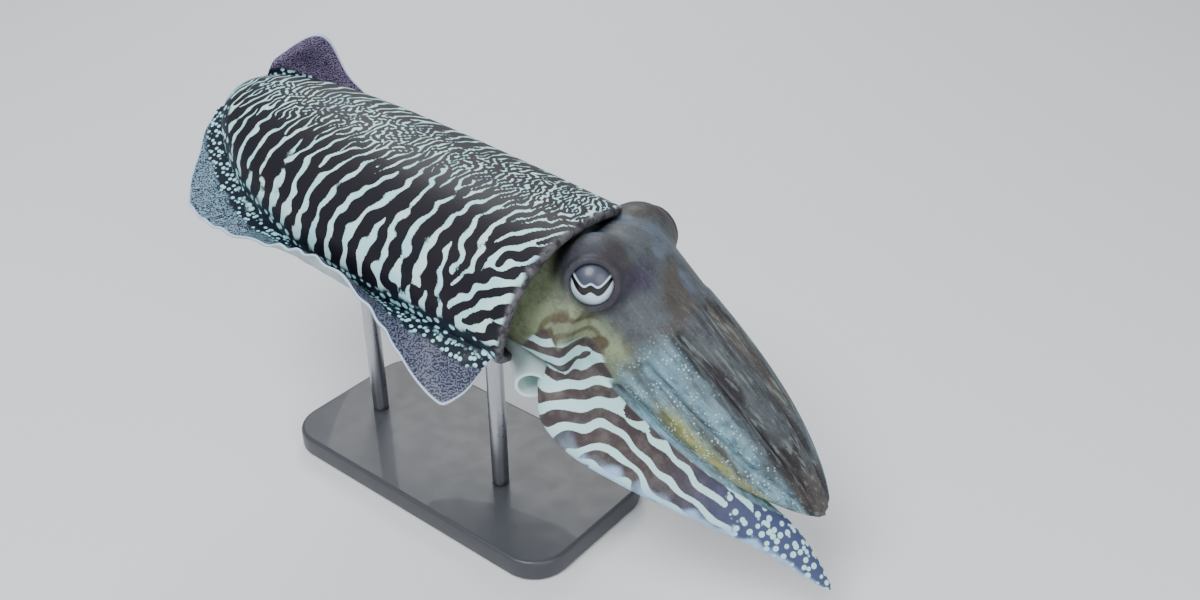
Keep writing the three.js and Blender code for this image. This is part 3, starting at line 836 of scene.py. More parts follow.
def headTint(points, inHead, crownTurn, blade, onArms, eyeGap):
    x, y, z = inHead.T
    ex, ey, ez = head["eyePlace"]
    turn = np.abs(crownTurn)
    offBlade = 1 - blade
    stretched = np.stack([x * 0.2, y, z], 1)
    streaks = smoothNoise(stretched, 8, 74) + 0.6 * smoothNoise(stretched, 4, 75)
    cheek = smooth(70, 88, turn) * smooth(66, 46, x)
    patchAt = np.linalg.norm(inHead - np.array([ex + 11, -ey + 9, ez + 9]), axis=1)
    # painted shade: a dark ring along the fold round the eye
    foldShade = bump(eyeGap, head["eyeRadius"] + 5.5, 2.6) * smooth(24, 12, x)
    rings = smooth(0.1, 0.8, np.sin(np.hypot(x - 34, 1.4 * (z + 6)) * 2 * math.pi / 8.5 + 1.2))
    ringZone = smooth(13, 9, np.abs(np.hypot(x - 30, z + 10) - 6))
    ringZone = ringZone * smooth(74, 84, turn) * smooth(112, 102, turn)
    bluish = smooth(70, 40, x) * smooth(60, 40, turn)
    yellow = bump(turn, headMarks["yellowAt"], 8) * smooth(70, 90, x) * smooth(172, 150, x)
    farEdge = bump(crownTurn, -20, 7) * onArms * smooth(0.2, 0.6, np.sin(crownTurn * 1.3 + 0.02 * x))
    coats = [
        ("brown", 0.8 * smooth(-0.3, 0.7, smoothNoise(points, 30, 71))),
        ("blue", 0.7 * smooth(0.1, 0.9, smoothNoise(points, 16, 76)) * bluish),
        ("cheek", cheek * (0.85 + 0.15 * smoothNoise(points, 15, 72))),
        ("cheekBrown", cheek * smooth(0.35, 0.8, smoothNoise(points, 11, 77)) * smooth(12, 22, x)),
        ("belly", smooth(140, 165, turn) * smooth(60, 50, x)),
        ("patch", 0.8 * smooth(14, 4, patchAt + 2 * smoothNoise(points, 12, 73))),
        # painted shade along the fold round the eye
        ("streakAndShade", 0.55 * foldShade),
        ("cheekBrown", 0.75 * rings * ringZone * smooth(56, 46, x)),
        ("armBlue", onArms * 0.85 * smooth(46, 60, turn) * (0.85 + 0.3 * streaks)),
        ("armYellow", onArms * 0.85 * yellow),
        ("belly", onArms * 0.6 * smooth(112, 140, turn) * offBlade),
        ("streakAndShade", onArms * 0.8 * smooth(0.1, 0.9, streaks) * smooth(62, 44, turn)),
        ("streakAndShade", 0.35 * onArms * smooth(0.5, 1.1, -streaks) * smooth(44, 60, turn) * offBlade),
    ]
    # painted shade: the grooves between the arms are darkened with the streak colour
    for angle, depth in headMarks["grooves"]:
        grooveShade = bump(turn, angle + 1.5 * smoothNoise(points, 30, 78), headMarks["grooveWidth"])
        coats.append(("streakAndShade", onArms * depth * grooveShade * smooth(62, 84, x) * offBlade))
    coats.append(("armBlue", 0.7 * farEdge))
    tint = np.repeat(headPaints["top"][None, :], len(points), 0)
    for name, amount in coats:
        tint = tint + (headPaints[name][None, :] - tint) * np.clip(amount, 0, 1)[:, None]
    return tint


def markHead():
    points, normals = meshArrays(headSkin)
    inHead = unplace(headFrame, points)
    x, y, z = inHead.T
    blade, along, across = onBlade(inHead)
    crownTurn = np.degrees(np.arctan2(-y, z))  # from the back, rightwards
    turn = np.abs(crownTurn)
    onArms = smooth(48, 66, x)
    brokenAt = along + 0.07 * smoothNoise(points, 9, 61)
    cheekZone = (
        smooth(92, 106, crownTurn + 5 * smoothNoise(points, 22, 62))
        * smooth(60, 50, x)
        * smooth(14, 22, x)
        * smooth(178, 160, crownTurn)
    )
    dotsFrom = headMarks["dotsFrom"]
    zone = np.maximum(blade * (1 - smooth(dotsFrom, dotsFrom + 0.1, brokenAt)), cheekZone)
    eyes = [np.array(head["eyePlace"]) * (1, sign, 1) for sign in (1, -1)]
    eyeGap = np.minimum(*(np.linalg.norm(inHead - eye, axis=1) for eye in eyes))
    keelEdge = across / np.interp(along, bladeShare, bladeTaper) + 0.12 * smoothNoise(points, 10, 67)
    specks = 0.05 + onArms * 0.85 * smooth(44, 58, turn) * smooth(112, 104, turn) * (1 - blade)
    store(headSkin, "tint", headTint(points, inHead, crownTurn, blade, onArms, eyeGap), "FLOAT_COLOR")
    store(headSkin, "stripe", bandHeight(points, normals, zone, smooth(0.1, 0.34, along) * blade))
    store(headSkin, "stripeZone", zone)
    store(headSkin, "dotZone", blade * smooth(dotsFrom - 0.06, dotsFrom + 0.06, brokenAt))
    store(headSkin, "dotTone", blade * smooth(0.35, 0.75, along))
    store(headSkin, "keel", 0.85 * blade * smooth(0.62, 0.9, keelEdge) * smooth(0.12, 0.3, along))
    store(headSkin, "lay", np.stack([x * 0.12, y, z], 1) * 0.001, "FLOAT_VECTOR")
    store(headSkin, "streaked", 0.2 + 0.8 * onArms)
    store(headSkin, "speckle", specks)
    store(headSkin, "lidRing", smooth(5.5, 1.0, np.abs(eyeGap - head["eyeRadius"] - 0.5)))


markHead()
print("head markings")

# eyes
eyeLook = {
    "opening": 0.8,  # share of the ball between the lids
    "up": (0, 0, 1),  # the pupil stays level
    "lobe": -0.4,
    "curve": 0.95,
    "bump": 0.3,
    "bumpWidth": 0.24,
    "thick": 0.17,
    "border": 0.07,
    "rings": 150,
    "sides": 190,
}


def eyePiece(name, sign):
    rings = sphereRings(eyeFrame(sign), head["eyeRadius"], eyeLook["rings"], eyeLook["sides"])
    part = loftPart(rings, emptyPart())
    piece = shadedSmooth(facedOutwards(meshPiece(name, part)))
    local = unplace(eyeFrame(sign), np.array(part["points"])) / head["eyeRadius"]
    toEye = eyeFrame(sign).to_3x3().inverted()
    up = np.array(toEye @ Vector(eyeLook["up"]))
    up[2] = 0
    up /= np.linalg.norm(up)
    ahead = np.array([up[1], -up[0], 0.0])
    if (toEye @ headFrame.to_3x3() @ Vector((1, 0, 0))).dot(Vector(ahead)) < 0:
        ahead = -ahead
    u = (local @ ahead) / eyeLook["opening"]
    v = (local @ up) / eyeLook["opening"]
    # the pupil is a curved slit with a bump in its middle, and the iris above it is a grey lobe
    middle = eyeLook["lobe"] + eyeLook["curve"] * u**2 + eyeLook["bump"] * bump(u, 0, eyeLook["bumpWidth"])
    above = (v - middle) / np.sqrt(1 + (2 * eyeLook["curve"] * u) ** 2 * 0.7)
    thick = eyeLook["thick"] * (1 - 0.55 * np.clip(np.abs(u) / 0.85, 0, 1) ** 3)
    front = local[:, 2] > 0
    store(piece, "pupil", np.where(front & (np.abs(u) < 0.95), thick - np.abs(above), -1))
    store(piece, "lid", np.where(front, above - thick - eyeLook["border"], -1))
    store(piece, "edge", np.hypot(u, v))
    return piece


eyeRight = eyePiece("eyeRight", -1)
eyeLeft = eyePiece("eyeLeft", 1)

# funnel
funnelPlan = {
    "path": [(-12, -14, -24), (2, -24, -28), (13, -37, -29)],
    "root": 13,
    "tip": 7.5,
    "wall": 1.6,
    "bore": 14,
    "rings": 40,
    "sides": 64,
    "colour": paint(206, 226, 226),
}


def funnelPiece():
    line = splineThrough(funnelPlan["path"], funnelPlan["rings"])
    radii = funnelPlan["root"] + (funnelPlan["tip"] - funnelPlan["root"]) * np.linspace(0, 1, len(line))
    f = fullTurn(funnelPlan["sides"])[:, None]
    rings = []
    for centre, way, radius in zip(line, unit(np.gradient(line, axis=0)), radii):
        a = unit(np.array([0, 0, 1.0]) - way * way[2])
        b = np.cross(way, a)
        rings.append(place(mantleFrame, centre + a * radius * np.cos(f) + b * radius * np.sin(f)))
    # a rounded lip, then back down the bore
    lip = rings[-1]
    out = turned(mantleFrame, unit(line[-1] - line[-2]))
    for k in range(1, 6):
        a = math.pi * k / 5
        narrowed = 1 - (funnelPlan["wall"] / 2) * (1 - math.cos(a)) / funnelPlan["tip"]
        rings.append(lip.mean(0) + (lip - lip.mean(0)) * narrowed + out * 0.4 * math.sin(a))
    inside = rings[-1]
    for depth in np.linspace(0, funnelPlan["bore"], 12)[1:]:
        rings.append(inside - out * depth)
    return shadedSmooth(facedOutwards(meshPiece("funnelTube", loftPart(rings, emptyPart()))))


funnel = funnelPiece()
print("eyes and funnel")


# finishes: small helpers that add one node each to a node tree
def wire(tree, socket, value):
    if isinstance(value, (int, float)):
        socket.default_value = value
    elif isinstance(value, np.ndarray):
        socket.default_value = tuple(value)
    else:
        tree.links.new(value, socket)


def attribute(tree, name, output="Fac"):
    n = tree.nodes.new("ShaderNodeAttribute")
    n.attribute_name = name
    return n.outputs[output]


def ramp(tree, value, a, b, low=0.0, high=1.0):
    n = tree.nodes.new("ShaderNodeMapRange")
    n.interpolation_type = "SMOOTHSTEP"
    n.inputs["From Min"].default_value, n.inputs["From Max"].default_value = a, b
    n.inputs["To Min"].default_value, n.inputs["To Max"].default_value = low, high
    tree.links.new(value, n.inputs["Value"])
    return n.outputs["Result"]


def maths(tree, kind, a, b):
    n = tree.nodes.new("ShaderNodeMath")
    n.operation = kind
    wire(tree, n.inputs[0], a)
    wire(tree, n.inputs[1], b)
    return n.outputs[0]


def product(tree, a, b):
    return maths(tree, "MULTIPLY", a, b)


def mixed(tree, amount, a, b):
    n = tree.nodes.new("ShaderNodeMix")
    n.data_type = "RGBA"
    wire(tree, n.inputs[0], amount)
    wire(tree, n.inputs[6], a)
    wire(tree, n.inputs[7], b)
    return n.outputs[2]


def mixedValue(tree, amount, a, b):
    n = tree.nodes.new("ShaderNodeMix")
    wire(tree, n.inputs[0], amount)
    wire(tree, n.inputs[2], a)
    wire(tree, n.inputs[3], b)
    return n.outputs[0]


def noise(tree, perMetre, detail=3.0, rough=0.5, over=None):
    # cloudy grey, over the object's own place or over an attribute of its points
    if over:
        where = attribute(tree, over, "Vector")
    else:
        where = tree.nodes.new("ShaderNodeTexCoord").outputs["Object"]
    n = tree.nodes.new("ShaderNodeTexNoise")
    n.inputs["Scale"].default_value = perMetre
    n.inputs["Detail"].default_value = detail
    n.inputs["Roughness"].default_value = rough
    tree.links.new(where, n.inputs["Vector"])
    return n.outputs["Fac"]


def shaken(tree, value, cloud, amount):
    # the value moved up and down by a cloudy grey
    return maths(tree, "ADD", value, product(tree, maths(tree, "SUBTRACT", cloud, 0.5), amount))


def newGroup(name, inputs, output):
    tree = bpy.data.node_groups.new(name, "ShaderNodeTree")
    for socket in inputs:
        tree.interface.new_socket(socket, in_out="INPUT", socket_type="NodeSocketFloat")
    tree.interface.new_socket(output, in_out="OUTPUT", socket_type="NodeSocketFloat")
    where = tree.nodes.new("ShaderNodeTexCoord").outputs["Object"]
    return tree, tree.nodes.new("NodeGroupInput").outputs, tree.nodes.new("NodeGroupOutput").inputs[0], where


def dotGroup():
    # pale round spots of one size
    tree, given, end, where = newGroup("skinDots", ("Per Metre", "Spot Radius"), "Spots")
    cells = tree.nodes.new("ShaderNodeTexVoronoi")
    cells.inputs["Randomness"].default_value = 0.6
    tree.links.new(where, cells.inputs["Vector"])
    tree.links.new(given["Per Metre"], cells.inputs["Scale"])
    inside = maths(tree, "SUBTRACT", given["Spot Radius"], cells.outputs["Distance"])
    tree.links.new(ramp(tree, inside, -0.05, 0.05), end)
    return tree


def mazeGroup():
    # fine worm-like marks
    tree, given, end, where = newGroup("skinMaze", ("Per Metre",), "Marks")
    gabor = tree.nodes.new("ShaderNodeTexGabor")
    gabor.gabor_type = "3D"
    gabor.inputs["Anisotropy"].default_value = 0.0
    gabor.inputs["Frequency"].default_value = 1.6
    tree.links.new(where, gabor.inputs["Vector"])
    tree.links.new(given["Per Metre"], gabor.inputs["Scale"])
    tree.links.new(ramp(tree, gabor.outputs["Value"], 0.44, 0.56), end)
    return tree


dots, maze = dotGroup(), mazeGroup()


def grouped(tree, group, *values):
    n = tree.nodes.new("ShaderNodeGroup")
    n.node_tree = group
    for socket, value in zip(n.inputs, values):
        socket.default_value = value
    return n.outputs[0]


def newMaterial(name):
    material = bpy.data.materials.new(name)
    material.use_nodes = True
    return material, material.node_tree


def setShader(tree, values):
    shader = tree.nodes["Principled BSDF"]
    for name, value in values.items():
        shader.inputs[name].default_value = value
    return shader


wetLook = {
    "Roughness": 0.58,
    "Specular IOR Level": 0.28,
    "Coat Weight": 0.06,
    "Coat Roughness": 0.25,
    "Subsurface Weight": 0.08,
    "Subsurface Radius": (0.004, 0.002, 0.002),
    "Subsurface Scale": 1.0,
}


def wetSkin(tree, colour, height, bumpMm):
    shader = setShader(tree, wetLook)
    raised = tree.nodes.new("ShaderNodeBump")
    raised.inputs["Strength"].default_value = 0.6
    raised.inputs["Distance"].default_value = bumpMm * 0.001
    tree.links.new(height, raised.inputs["Height"])
    tree.links.new(raised.outputs["Normal"], shader.inputs["Normal"])
    tree.links.new(colour, shader.inputs["Base Color"])


mantlePaints = {
    "dark": paint(9, 8, 22),
    "brown": paint(17, 9, 22),
    "pale": paint(172, 228, 238),
    "paler": paint(200, 238, 234),
    "finDark": paint(10, 22, 38),
    "finTail": paint(118, 150, 168),
    "finOuter": paint(98, 104, 124),
    "finShade": paint(34, 36, 58),
    "finMauve": paint(112, 98, 128),
    "margin": paint(190, 214, 240),
    "collar": paint(92, 92, 96),
    "collarDark": paint(46, 42, 50),
    "belly": paint(176, 194, 198),
    "bellyShade": paint(150, 168, 178),
    # painted shade for the pocket behind the rim
    "pocket": paint(30, 24, 34),
}
mantleLook = {
    "edge": 0.14,  # how soft the stripes' edges are
    "maze": 560.0,  # marks per metre
    "bump": 0.25,
    "wander": 9.0,  # millimetres that the borders below wander
    # millimetres outwards from the fin's root over which each one fades in or out
    "stripesEnd": (-7.0, -11.0),
    "beltStart": (-9.0, -7.0),
    "mazeStart": (8.0, 11.0),
    # dots per metre and their radius as a share of the spacing, then where they start and end
    "bigDots": ((215.0, 0.37), (-9.5, -6.5), (4.0, 1.0)),
    "smallDots": ((360.0, 0.38), (1.0, 4.0), (11.0, 8.0)),
}


def mantleMaterial():
    material, tree = newMaterial("mantleSkin")
    paints, edge = mantlePaints, mantleLook["edge"]
    grain = noise(tree, 900, 3)
    # millimetres outwards from the fin's root, with a wandering border
    out = shaken(tree, attribute(tree, "finEdge"), noise(tree, 120, 2), mantleLook["wander"])
    stripes = ramp(tree, shaken(tree, attribute(tree, "stripe"), grain, 0.5), -edge, edge)
    stripes = product(tree, stripes, ramp(tree, out, *mantleLook["stripesEnd"]))
    ground = mixed(tree, ramp(tree, noise(tree, 45, 2), 0.4, 0.65), paints["dark"], paints["brown"])
    pale = mixed(tree, ramp(tree, noise(tree, 70, 3), 0.4, 0.62), paints["pale"], paints["paler"])
    colour = mixed(tree, stripes, ground, pale)
    # a belt of dots along the fin's root, smaller outwards, then a fine maze
    belt = paints["finDark"]
    for name in ("bigDots", "smallDots"):
        spacing, start, end = mantleLook[name]
        zone = product(tree, ramp(tree, out, *start), ramp(tree, out, *end))
        belt = mixed(tree, product(tree, grouped(tree, dots, *spacing), zone), belt, paints["pale"])
    colour = mixed(tree, ramp(tree, out, *mantleLook["beltStart"]), colour, belt)
    nearTail = ramp(tree, attribute(tree, "tail"), 0.62, 0.42)
    outer = mixed(tree, nearTail, paints["finOuter"], paints["finTail"])
    outer = mixed(tree, ramp(tree, attribute(tree, "side"), 0.2, -0.2), outer, paints["finMauve"])
    outer = mixed(tree, grouped(tree, maze, mantleLook["maze"]), paints["finShade"], outer)
    belly = mixed(tree, ramp(tree, noise(tree, 60, 3), 0.35, 0.7), paints["belly"], paints["bellyShade"])
    mottled = ramp(tree, noise(tree, 260, 4, 0.65), 0.4, 0.62)
    collar = mixed(tree, mottled, paints["collar"], paints["collarDark"])
    for amount, over in (
        (ramp(tree, out, *mantleLook["mazeStart"]), outer),
        (ramp(tree, attribute(tree, "finWidth"), 0.955, 0.985), paints["margin"]),
        (ramp(tree, attribute(tree, "under"), 0.3, 0.7), belly),
        (attribute(tree, "collar"), collar),
        (product(tree, attribute(tree, "tip"), 0.8), paints["pale"]),
        # painted shade inside the pocket behind the rim
        (attribute(tree, "pocket"), paints["pocket"]),
    ):
        colour = mixed(tree, amount, colour, over)
    wetSkin(tree, colour, maths(tree, "ADD", product(tree, stripes, 0.5), grain), mantleLook["bump"])
    return material


headLook = {
    "edge": 0.14,
    "specks": (560.0, 0.27),  # per metre, radius as a share of the spacing
    "spots": (270.0, 0.4),
    "bump": 0.7,
}


def headMaterial():
    material, tree = newMaterial("headSkin")
    paints, edge = headPaints, headLook["edge"]
    fine = noise(tree, 620, 4, 0.65)
    mottle = noise(tree, 150, 5, 0.62)
    lines = noise(tree, 420, 4, 0.6, over="lay")
    streaked = attribute(tree, "streaked")
    specks = grouped(tree, dots, *headLook["specks"])
    patchy = product(tree, specks, ramp(tree, noise(tree, 210, 2), 0.42, 0.58))
    colour = attribute(tree, "tint", "Color")
    for amount, over in (
        (ramp(tree, mottle, 0.48, 0.62, 0.0, 0.3), paints["streakAndShade"]),
        (product(tree, ramp(tree, lines, 0.52, 0.64, 0.0, 0.5), streaked), paints["streakAndShade"]),
        (product(tree, ramp(tree, lines, 0.46, 0.36, 0.0, 0.4), streaked), paints["paleStreak"]),
        (ramp(tree, fine, 0.54, 0.66, 0.0, 0.25), paints["streakAndShade"]),
        (product(tree, patchy, attribute(tree, "speckle")), paints["speck"]),
    ):
        colour = mixed(tree, amount, colour, over)
    # bands on the cheek and the blade that break up into spots
    stripes = ramp(tree, shaken(tree, attribute(tree, "stripe"), fine, 0.5), -edge, edge)
    ground = mixed(tree, ramp(tree, mottle, 0.4, 0.65), paints["band"], paints["bandWorn"])
    ground = mixed(tree, attribute(tree, "dotTone"), ground, paints["dotGround"])
    dotted = ramp(tree, attribute(tree, "dotZone"), 0.42, 0.5)
    marks = mixedValue(tree, dotted, stripes, grouped(tree, dots, *headLook["spots"]))
    bands = mixed(tree, marks, ground, paints["bandPale"])
    banded = maths(tree, "MAXIMUM", attribute(tree, "stripeZone"), attribute(tree, "dotZone"))
    colour = mixed(tree, ramp(tree, banded, 0.25, 0.6), colour, bands)
    colour = mixed(tree, attribute(tree, "keel"), colour, paints["keel"])
    colour = mixed(tree, product(tree, attribute(tree, "lidRing"), 0.75), colour, paints["lidRing"])
    wetSkin(tree, colour, maths(tree, "ADD", mottle, product(tree, fine, 0.6)), headLook["bump"])
    return material


eyePaints = {
    "ball": paint(198, 222, 236),
    "lid": paint(62, 68, 84),
    "pupil": paint(6, 6, 10),
    "edge": paint(60, 80, 120),
}


def eyeMaterial():
    material, tree = newMaterial("eyeBall")
    colour = eyePaints["ball"]
    for name, a, b in (("lid", -0.02, 0.05), ("pupil", -0.02, 0.02), ("edge", 0.9, 1.0)):
        colour = mixed(tree, ramp(tree, attribute(tree, name), a, b), colour, eyePaints[name])
    shader = setShader(tree, {"Roughness": 0.4, "Coat Weight": 0.22, "Coat Roughness": 0.05})
    tree.links.new(colour, shader.inputs["Base Color"])
    return material


def plainMaterial(name, colour, roughness, metallic=0.0, coat=0.0, wear=None):
    # wear: noise per metre, then the least and the most roughness
    material, tree = newMaterial(name)
    values = {"Base Color": tuple(colour), "Roughness": roughness, "Metallic": metallic, "Coat Weight": coat}
    shader = setShader(tree, values)
    if wear:
        perMetre, least, most = wear
        cloud = ramp(tree, noise(tree, perMetre, 4), 0.3, 0.7, least, most)
        tree.links.new(cloud, shader.inputs["Roughness"])
    return material


mantleSkin.data.materials.append(mantleMaterial())
headSkin.data.materials.append(headMaterial())
eyeFinish = eyeMaterial()
for piece in (eyeRight, eyeLeft):
    piece.data.materials.append(eyeFinish)
funnel.data.materials.append(
    plainMaterial("funnelSkin", funnelPlan["colour"], 0.4, coat=0.2, wear=(200, 0.32, 0.5))
)

# suckers, set on points by Geometry Nodes
suckerPlan = {
    "rows": 4,
    "perArm": 34,
    "biggest": 2.1,
    "sides": 12,
    "seed": 4,
    "onBlade": 44,
    "bladeRows": (1.95, 2.3, 2.65),  # angles round the blade's section
    "bladeSpan": (0.22, 0.96),  # shares of the blade's length
    "colour": paint(188, 196, 190),
    "openTurn": (125, 192),  # the blade's own place round the crown, where its face is free
    "profile": [(0.45, -0.7), (0.6, -0.1), (1.0, 0.25), (1.0, 0.5), (0.75, 0.6), (0.45, 0.3)],
}


def suckerPoints():
    at, way, size = [], [], []

    def add(spot, outwards, radius):
        at.append(place(headFrame, spot[None])[0])
        way.append(np.array(headFrame.to_3x3() @ Vector(outwards).normalized()))
        size.append(radius)

    for plan in armPlan:
        for k in range(suckerPlan["perArm"]):
            s = plan[3] * (0.05 + 0.9 * k / suckerPlan["perArm"])
            inner, outer, half, full = armSection(plan, s)
            face = inner + (outer - inner) * (0.5 - 0.5 * (0.7 + 0.3 * full))
            radius = suckerPlan["biggest"] * (0.3 + 0.7 * (1 - s) ** 0.8) * 0.5
            for row in range(suckerPlan["rows"]):
                f = (row + 0.5) / suckerPlan["rows"] * 2 - 1
                angle = math.radians(plan[1]) + half * 0.62 * f
                spot = crownPoint(s + 0.012 * (row % 2), np.array(angle), np.array(face + 0.1))
                inwards = crownAxis(s) - spot
                inwards[0] = 0
                add(spot, inwards, radius)
    start, end = suckerPlan["bladeSpan"]
    for k in range(suckerPlan["onBlade"]):
        u = start + (end - start) * k / suckerPlan["onBlade"]
        centre = bladeLine[int(round(u * (len(bladeLine) - 1)))]
        for row in suckerPlan["bladeRows"]:
            spot = bladeSpot(u, row)[0]
            share = crownShare(spot[0], 0.999)
            offset = spot[1:] - crownAxis(share)[1:]
            around = math.degrees(math.atan2(-offset[0], offset[1] / crown["flat"])) % 360
            isOpen = suckerPlan["openTurn"][0] < around < suckerPlan["openTurn"][1]
            if isOpen or np.linalg.norm(offset) >= crownRadius(share) + 1.5:
                add(spot, spot - centre, suckerPlan["biggest"] * 0.5 * (1 - 0.7 * u))
    return np.array(at), np.array(way), np.array(size)


def cupObject():
    # one sucker of unit radius: a short stalk under a ring with a dished face
    profile, k = suckerPlan["profile"], suckerPlan["sides"]
    points = [(r * math.cos(a), r * math.sin(a), h) for r, h in profile for a in fullTurn(k)]
    faces = []
    for i in range(len(profile) - 1):
        for j in range(k):
            here, there = i * k + j, i * k + (j + 1) % k
            faces.append((here, there, there + k, here + k))
    faces.append(tuple(reversed(range(k))))
    faces.append(tuple((len(profile) - 1) * k + j for j in range(k)))
    mesh = bpy.data.meshes.new("cup")
    mesh.from_pydata(points, [], faces)
    return shadedSmooth(bpy.data.objects.new("cup", mesh))


def suckerTree(cup, finish):
    tree = bpy.data.node_groups.new("suckers", "GeometryNodeTree")
    for name, way, kind in (
        ("Points", "INPUT", "NodeSocketGeometry"),
        ("Size", "INPUT", "NodeSocketFloat"),
        ("Seed", "INPUT", "NodeSocketInt"),
        ("Suckers", "OUTPUT", "NodeSocketGeometry"),
    ):
        tree.interface.new_socket(name, in_out=way, socket_type=kind)
    new, link = tree.nodes.new, tree.links.new

    def named(name, kind):
        n = new("GeometryNodeInputNamedAttribute")
        n.data_type = kind
        n.inputs["Name"].default_value = name
        return n.outputs["Attribute"]

    start = new("NodeGroupInput").outputs
    align = new("FunctionNodeAlignRotationToVector")
    align.axis = "Z"
    link(named("way", "FLOAT_VECTOR"), align.inputs["Vector"])
    vary = new("FunctionNodeRandomValue")
    vary.inputs[2].default_value, vary.inputs[3].default_value = 0.88, 1.12
    link(start["Seed"], vary.inputs["Seed"])
    size = product(tree, product(tree, named("size", "FLOAT"), start["Size"]), vary.outputs[1])
    cupIn = new("GeometryNodeObjectInfo")
    cupIn.inputs["Object"].default_value = cup
    onPoints = new("GeometryNodeInstanceOnPoints")
    link(start["Points"], onPoints.inputs["Points"])
    link(align.outputs["Rotation"], onPoints.inputs["Rotation"])
    link(cupIn.outputs["Geometry"], onPoints.inputs["Instance"])
    link(size, onPoints.inputs["Scale"])
    real = new("GeometryNodeRealizeInstances")
    link(onPoints.outputs["Instances"], real.inputs["Geometry"])
    coated = new("GeometryNodeSetMaterial")
    coated.inputs["Material"].default_value = finish
    link(real.outputs["Geometry"], coated.inputs["Geometry"])
    link(coated.outputs["Geometry"], new("NodeGroupOutput").inputs["Suckers"])
    return tree


def suckersPiece():
    spots, ways, sizes = suckerPoints()
    piece = meshPiece("suckers", {"points": spots, "faces": []})
    store(piece, "way", ways, "FLOAT_VECTOR")
    store(piece, "size", sizes * 0.001)
    cup = cupObject()
    tree = suckerTree(cup, plainMaterial("suckerRim", suckerPlan["colour"], 0.35, coat=0.3))
    modifier = piece.modifiers.new("rows of suckers", "NODES")
    modifier.node_group = tree
    settings = {"Size": 1.0, "Seed": suckerPlan["seed"]}
    for item in tree.interface.items_tree:
        if item.in_out == "INPUT" and item.name in settings:
            modifier[item.identifier] = settings[item.name]
    baked(piece)
    bpy.data.objects.remove(cup)
    print("suckers", len(spots))
    return shadedSmooth(piece)


suckers = suckersPiece()

# stand
standPlan = {
    "corner": 0.02,
    "bevel": 0.002,
    "bevelSteps": 4,
    "cornerSteps": 16,
    "chamfer": 0.0004,  # at the foot of each rod
    "sides": 64,
    "basePaint": paint(58, 60, 66),
    "steel": paint(178, 180, 186),
}


def standBase():
    low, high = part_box("stand_base")
    centreX, centreY = (low.x + high.x) / 2, (low.y + high.y) / 2
    radius = standPlan["corner"]
    halfX, halfY = (high.x - low.x) / 2 - radius, (high.y - low.y) / 2 - radius
    outline = []
    for quarter, (signX, signY) in enumerate(((1, 1), (-1, 1), (-1, -1), (1, -1))):
        for k in range(standPlan["cornerSteps"] + 1):
            a = math.pi / 2 * (quarter + k / standPlan["cornerSteps"])
            x = centreX + signX * halfX + radius * math.cos(a)
            outline.append((x, centreY + signY * halfY + radius * math.sin(a)))
    n = len(outline)
    points = [(x, y, z) for z in (low.z, high.z) for x, y in outline]
    faces = [tuple(reversed(range(n))), tuple(range(n, 2 * n))]
    faces += [(k, (k + 1) % n, (k + 1) % n + n, k + n) for k in range(n)]
    mesh = bpy.data.meshes.new("standBase")
    mesh.from_pydata(points, [], faces)
    piece = addPiece("standBase", mesh)
    rounded = piece.modifiers.new("rounded edges", "BEVEL")
    rounded.width = standPlan["bevel"]
    rounded.segments = standPlan["bevelSteps"]
    rounded.limit_method = "ANGLE"
    rounded.angle_limit = math.radians(40)
    baked(piece)
    for p in piece.data.polygons:
        p.use_smooth = abs(p.normal.z) < 0.999
    return piece


def standRod(node, name):
    low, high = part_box(node)
    centre = np.array([(low.x + high.x) / 2, (low.y + high.y) / 2, 0])
    radius = (high.x - low.x) / 2
    a = fullTurn(standPlan["sides"])
    heights = [low.z, low.z + standPlan["chamfer"]] + list(np.linspace(low.z + 0.003, high.z, 14))
    radii = [radius - standPlan["chamfer"]] + [radius] * 15
    rings = []
    for r, z in zip(radii, heights):
        rings.append(centre + np.stack([r * np.cos(a), r * np.sin(a), np.full(len(a), z)], 1))
    part = loftPart(rings, emptyPart())
    mesh = bpy.data.meshes.new(name)
    mesh.from_pydata(part["points"], [], part["faces"])
    return shadedSmooth(addPiece(name, mesh))


base = standBase()
rodFront, rodRear = standRod("stand_rod_front", "standRodFront"), standRod("stand_rod_rear", "standRodRear")
basePaint = plainMaterial("basePaint", standPlan["basePaint"], 0.45, coat=0.1, wear=(90, 0.42, 0.48))
base.data.materials.append(basePaint)
steel = plainMaterial("steelRod", standPlan["steel"], 0.3, metallic=1.0, wear=(160, 0.27, 0.33))
for rod in (rodFront, rodRear):
    rod.data.materials.append(steel)
print("stand")

# what each piece stands for
armNodes = [f"{plan[0]}_{half}" for plan in armPlan for half in ("base", "tip")]
pieces = [
    (mantleSkin, "mantle_skin", ["mantle", "fin_right", "fin_left"]),
    (headSkin, "head_skin", ["head", "arm_right_4_base", "arm_right_4_tip"] + armNodes),
    (eyeRight, "eye", ["eye_right"]),
    (eyeLeft, "eye", ["eye_left"]),
    (funnel, "funnel_skin", ["funnel"]),
    (suckers, "arm_skin", []),
    (base, "stand_base", ["stand_base"]),
    (rodFront, "stand_rod", ["stand_rod_front"]),
    (rodRear, "stand_rod", ["stand_rod_rear"]),
]
for piece, slotName, nodeNames in pieces:
    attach(piece, "root")
    if nodeNames:
        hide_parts(*nodeNames)

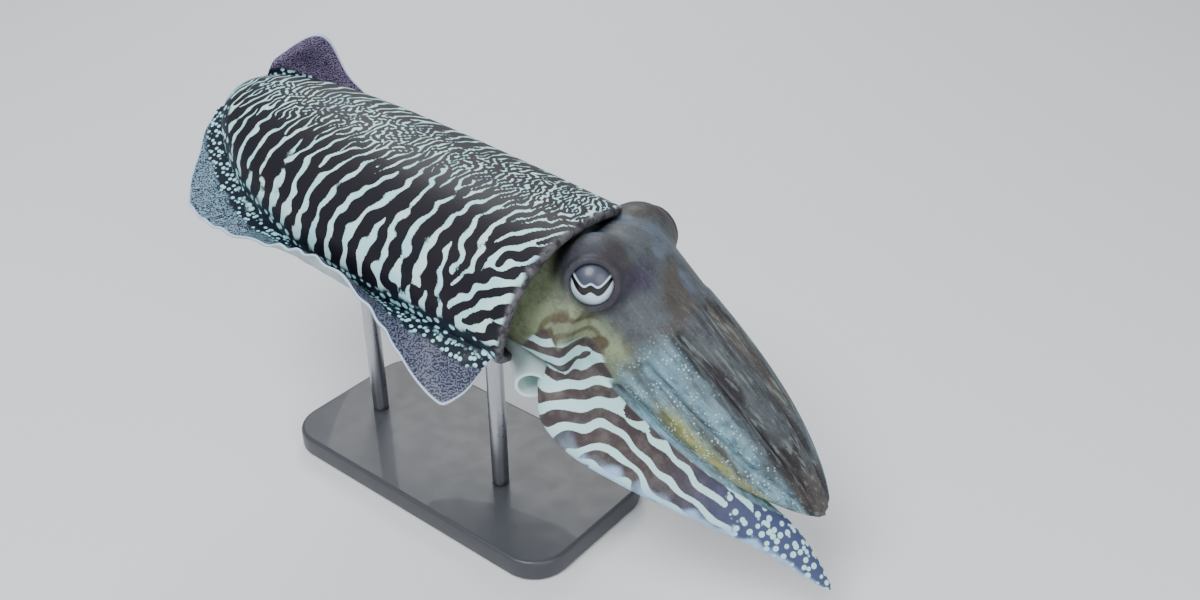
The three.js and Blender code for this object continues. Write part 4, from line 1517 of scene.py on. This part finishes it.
# floor, light and camera
studio = {
    "floor": paint(226, 227, 229),
    "floorHalf": 6,
    "world": (0.86, 0.9, 0.95, 1.0),
    "worldStrength": 0.55,
    # place, target, disk size and power of each lamp
    "lamps": {
        "key": ((0.1, -0.9, 1.5), (0.02, 0, 0.12), 0.9, 26),
        "fill": ((1.3, -0.5, 0.8), (0.05, 0, 0.12), 1.0, 9),
        "back": ((-0.9, 1.0, 1.2), (0, 0, 0.12), 0.8, 12),
    },
}
view = {"azimuth": 38.38, "elevation": 32.0, "lens": 36.0, "place": (303.7, -362.1, 289.9)}


def makeFloor():
    mesh = bpy.data.meshes.new("floor")
    half = studio["floorHalf"]
    corners = [(-half, -half, 0), (half, -half, 0), (half, half, 0), (-half, half, 0)]
    mesh.from_pydata(corners, [], [(0, 1, 2, 3)])
    mesh.materials.append(plainMaterial("floorPaint", studio["floor"], 0.8))
    return addPiece("floor", mesh)


def makeLight():
    world = bpy.data.worlds.new("studio")
    world.use_nodes = True
    world.node_tree.nodes["Background"].inputs["Color"].default_value = studio["world"]
    world.node_tree.nodes["Background"].inputs["Strength"].default_value = studio["worldStrength"]
    bpy.context.scene.world = world
    for name, (at, target, size, power) in studio["lamps"].items():
        data = bpy.data.lights.new(name, "AREA")
        data.shape = "DISK"
        data.size = size
        data.energy = power
        lamp = addPiece(name, data)
        lamp.location = at
        lamp.rotation_euler = (Vector(target) - Vector(at)).to_track_quat("-Z", "Y").to_euler()


def makeCamera():
    azimuth, elevation = math.radians(view["azimuth"]), math.radians(view["elevation"])
    flat = math.cos(elevation)
    back = Vector((math.sin(azimuth) * flat, -math.cos(azimuth) * flat, math.sin(elevation)))
    right = Vector((math.cos(azimuth), math.sin(azimuth), 0))
    data = bpy.data.cameras.new("camera")
    data.lens = view["lens"]
    data.sensor_width = 36
    data.clip_start = 0.01
    camera = addPiece("camera", data)
    turn = Matrix((right, back.cross(right), back)).transposed().to_4x4()
    camera.matrix_world = Matrix.Translation(Vector(toRow(np.array(view["place"])))) @ turn
    bpy.context.scene.camera = camera


floor = makeFloor()
makeLight()
makeCamera()

print("ready")
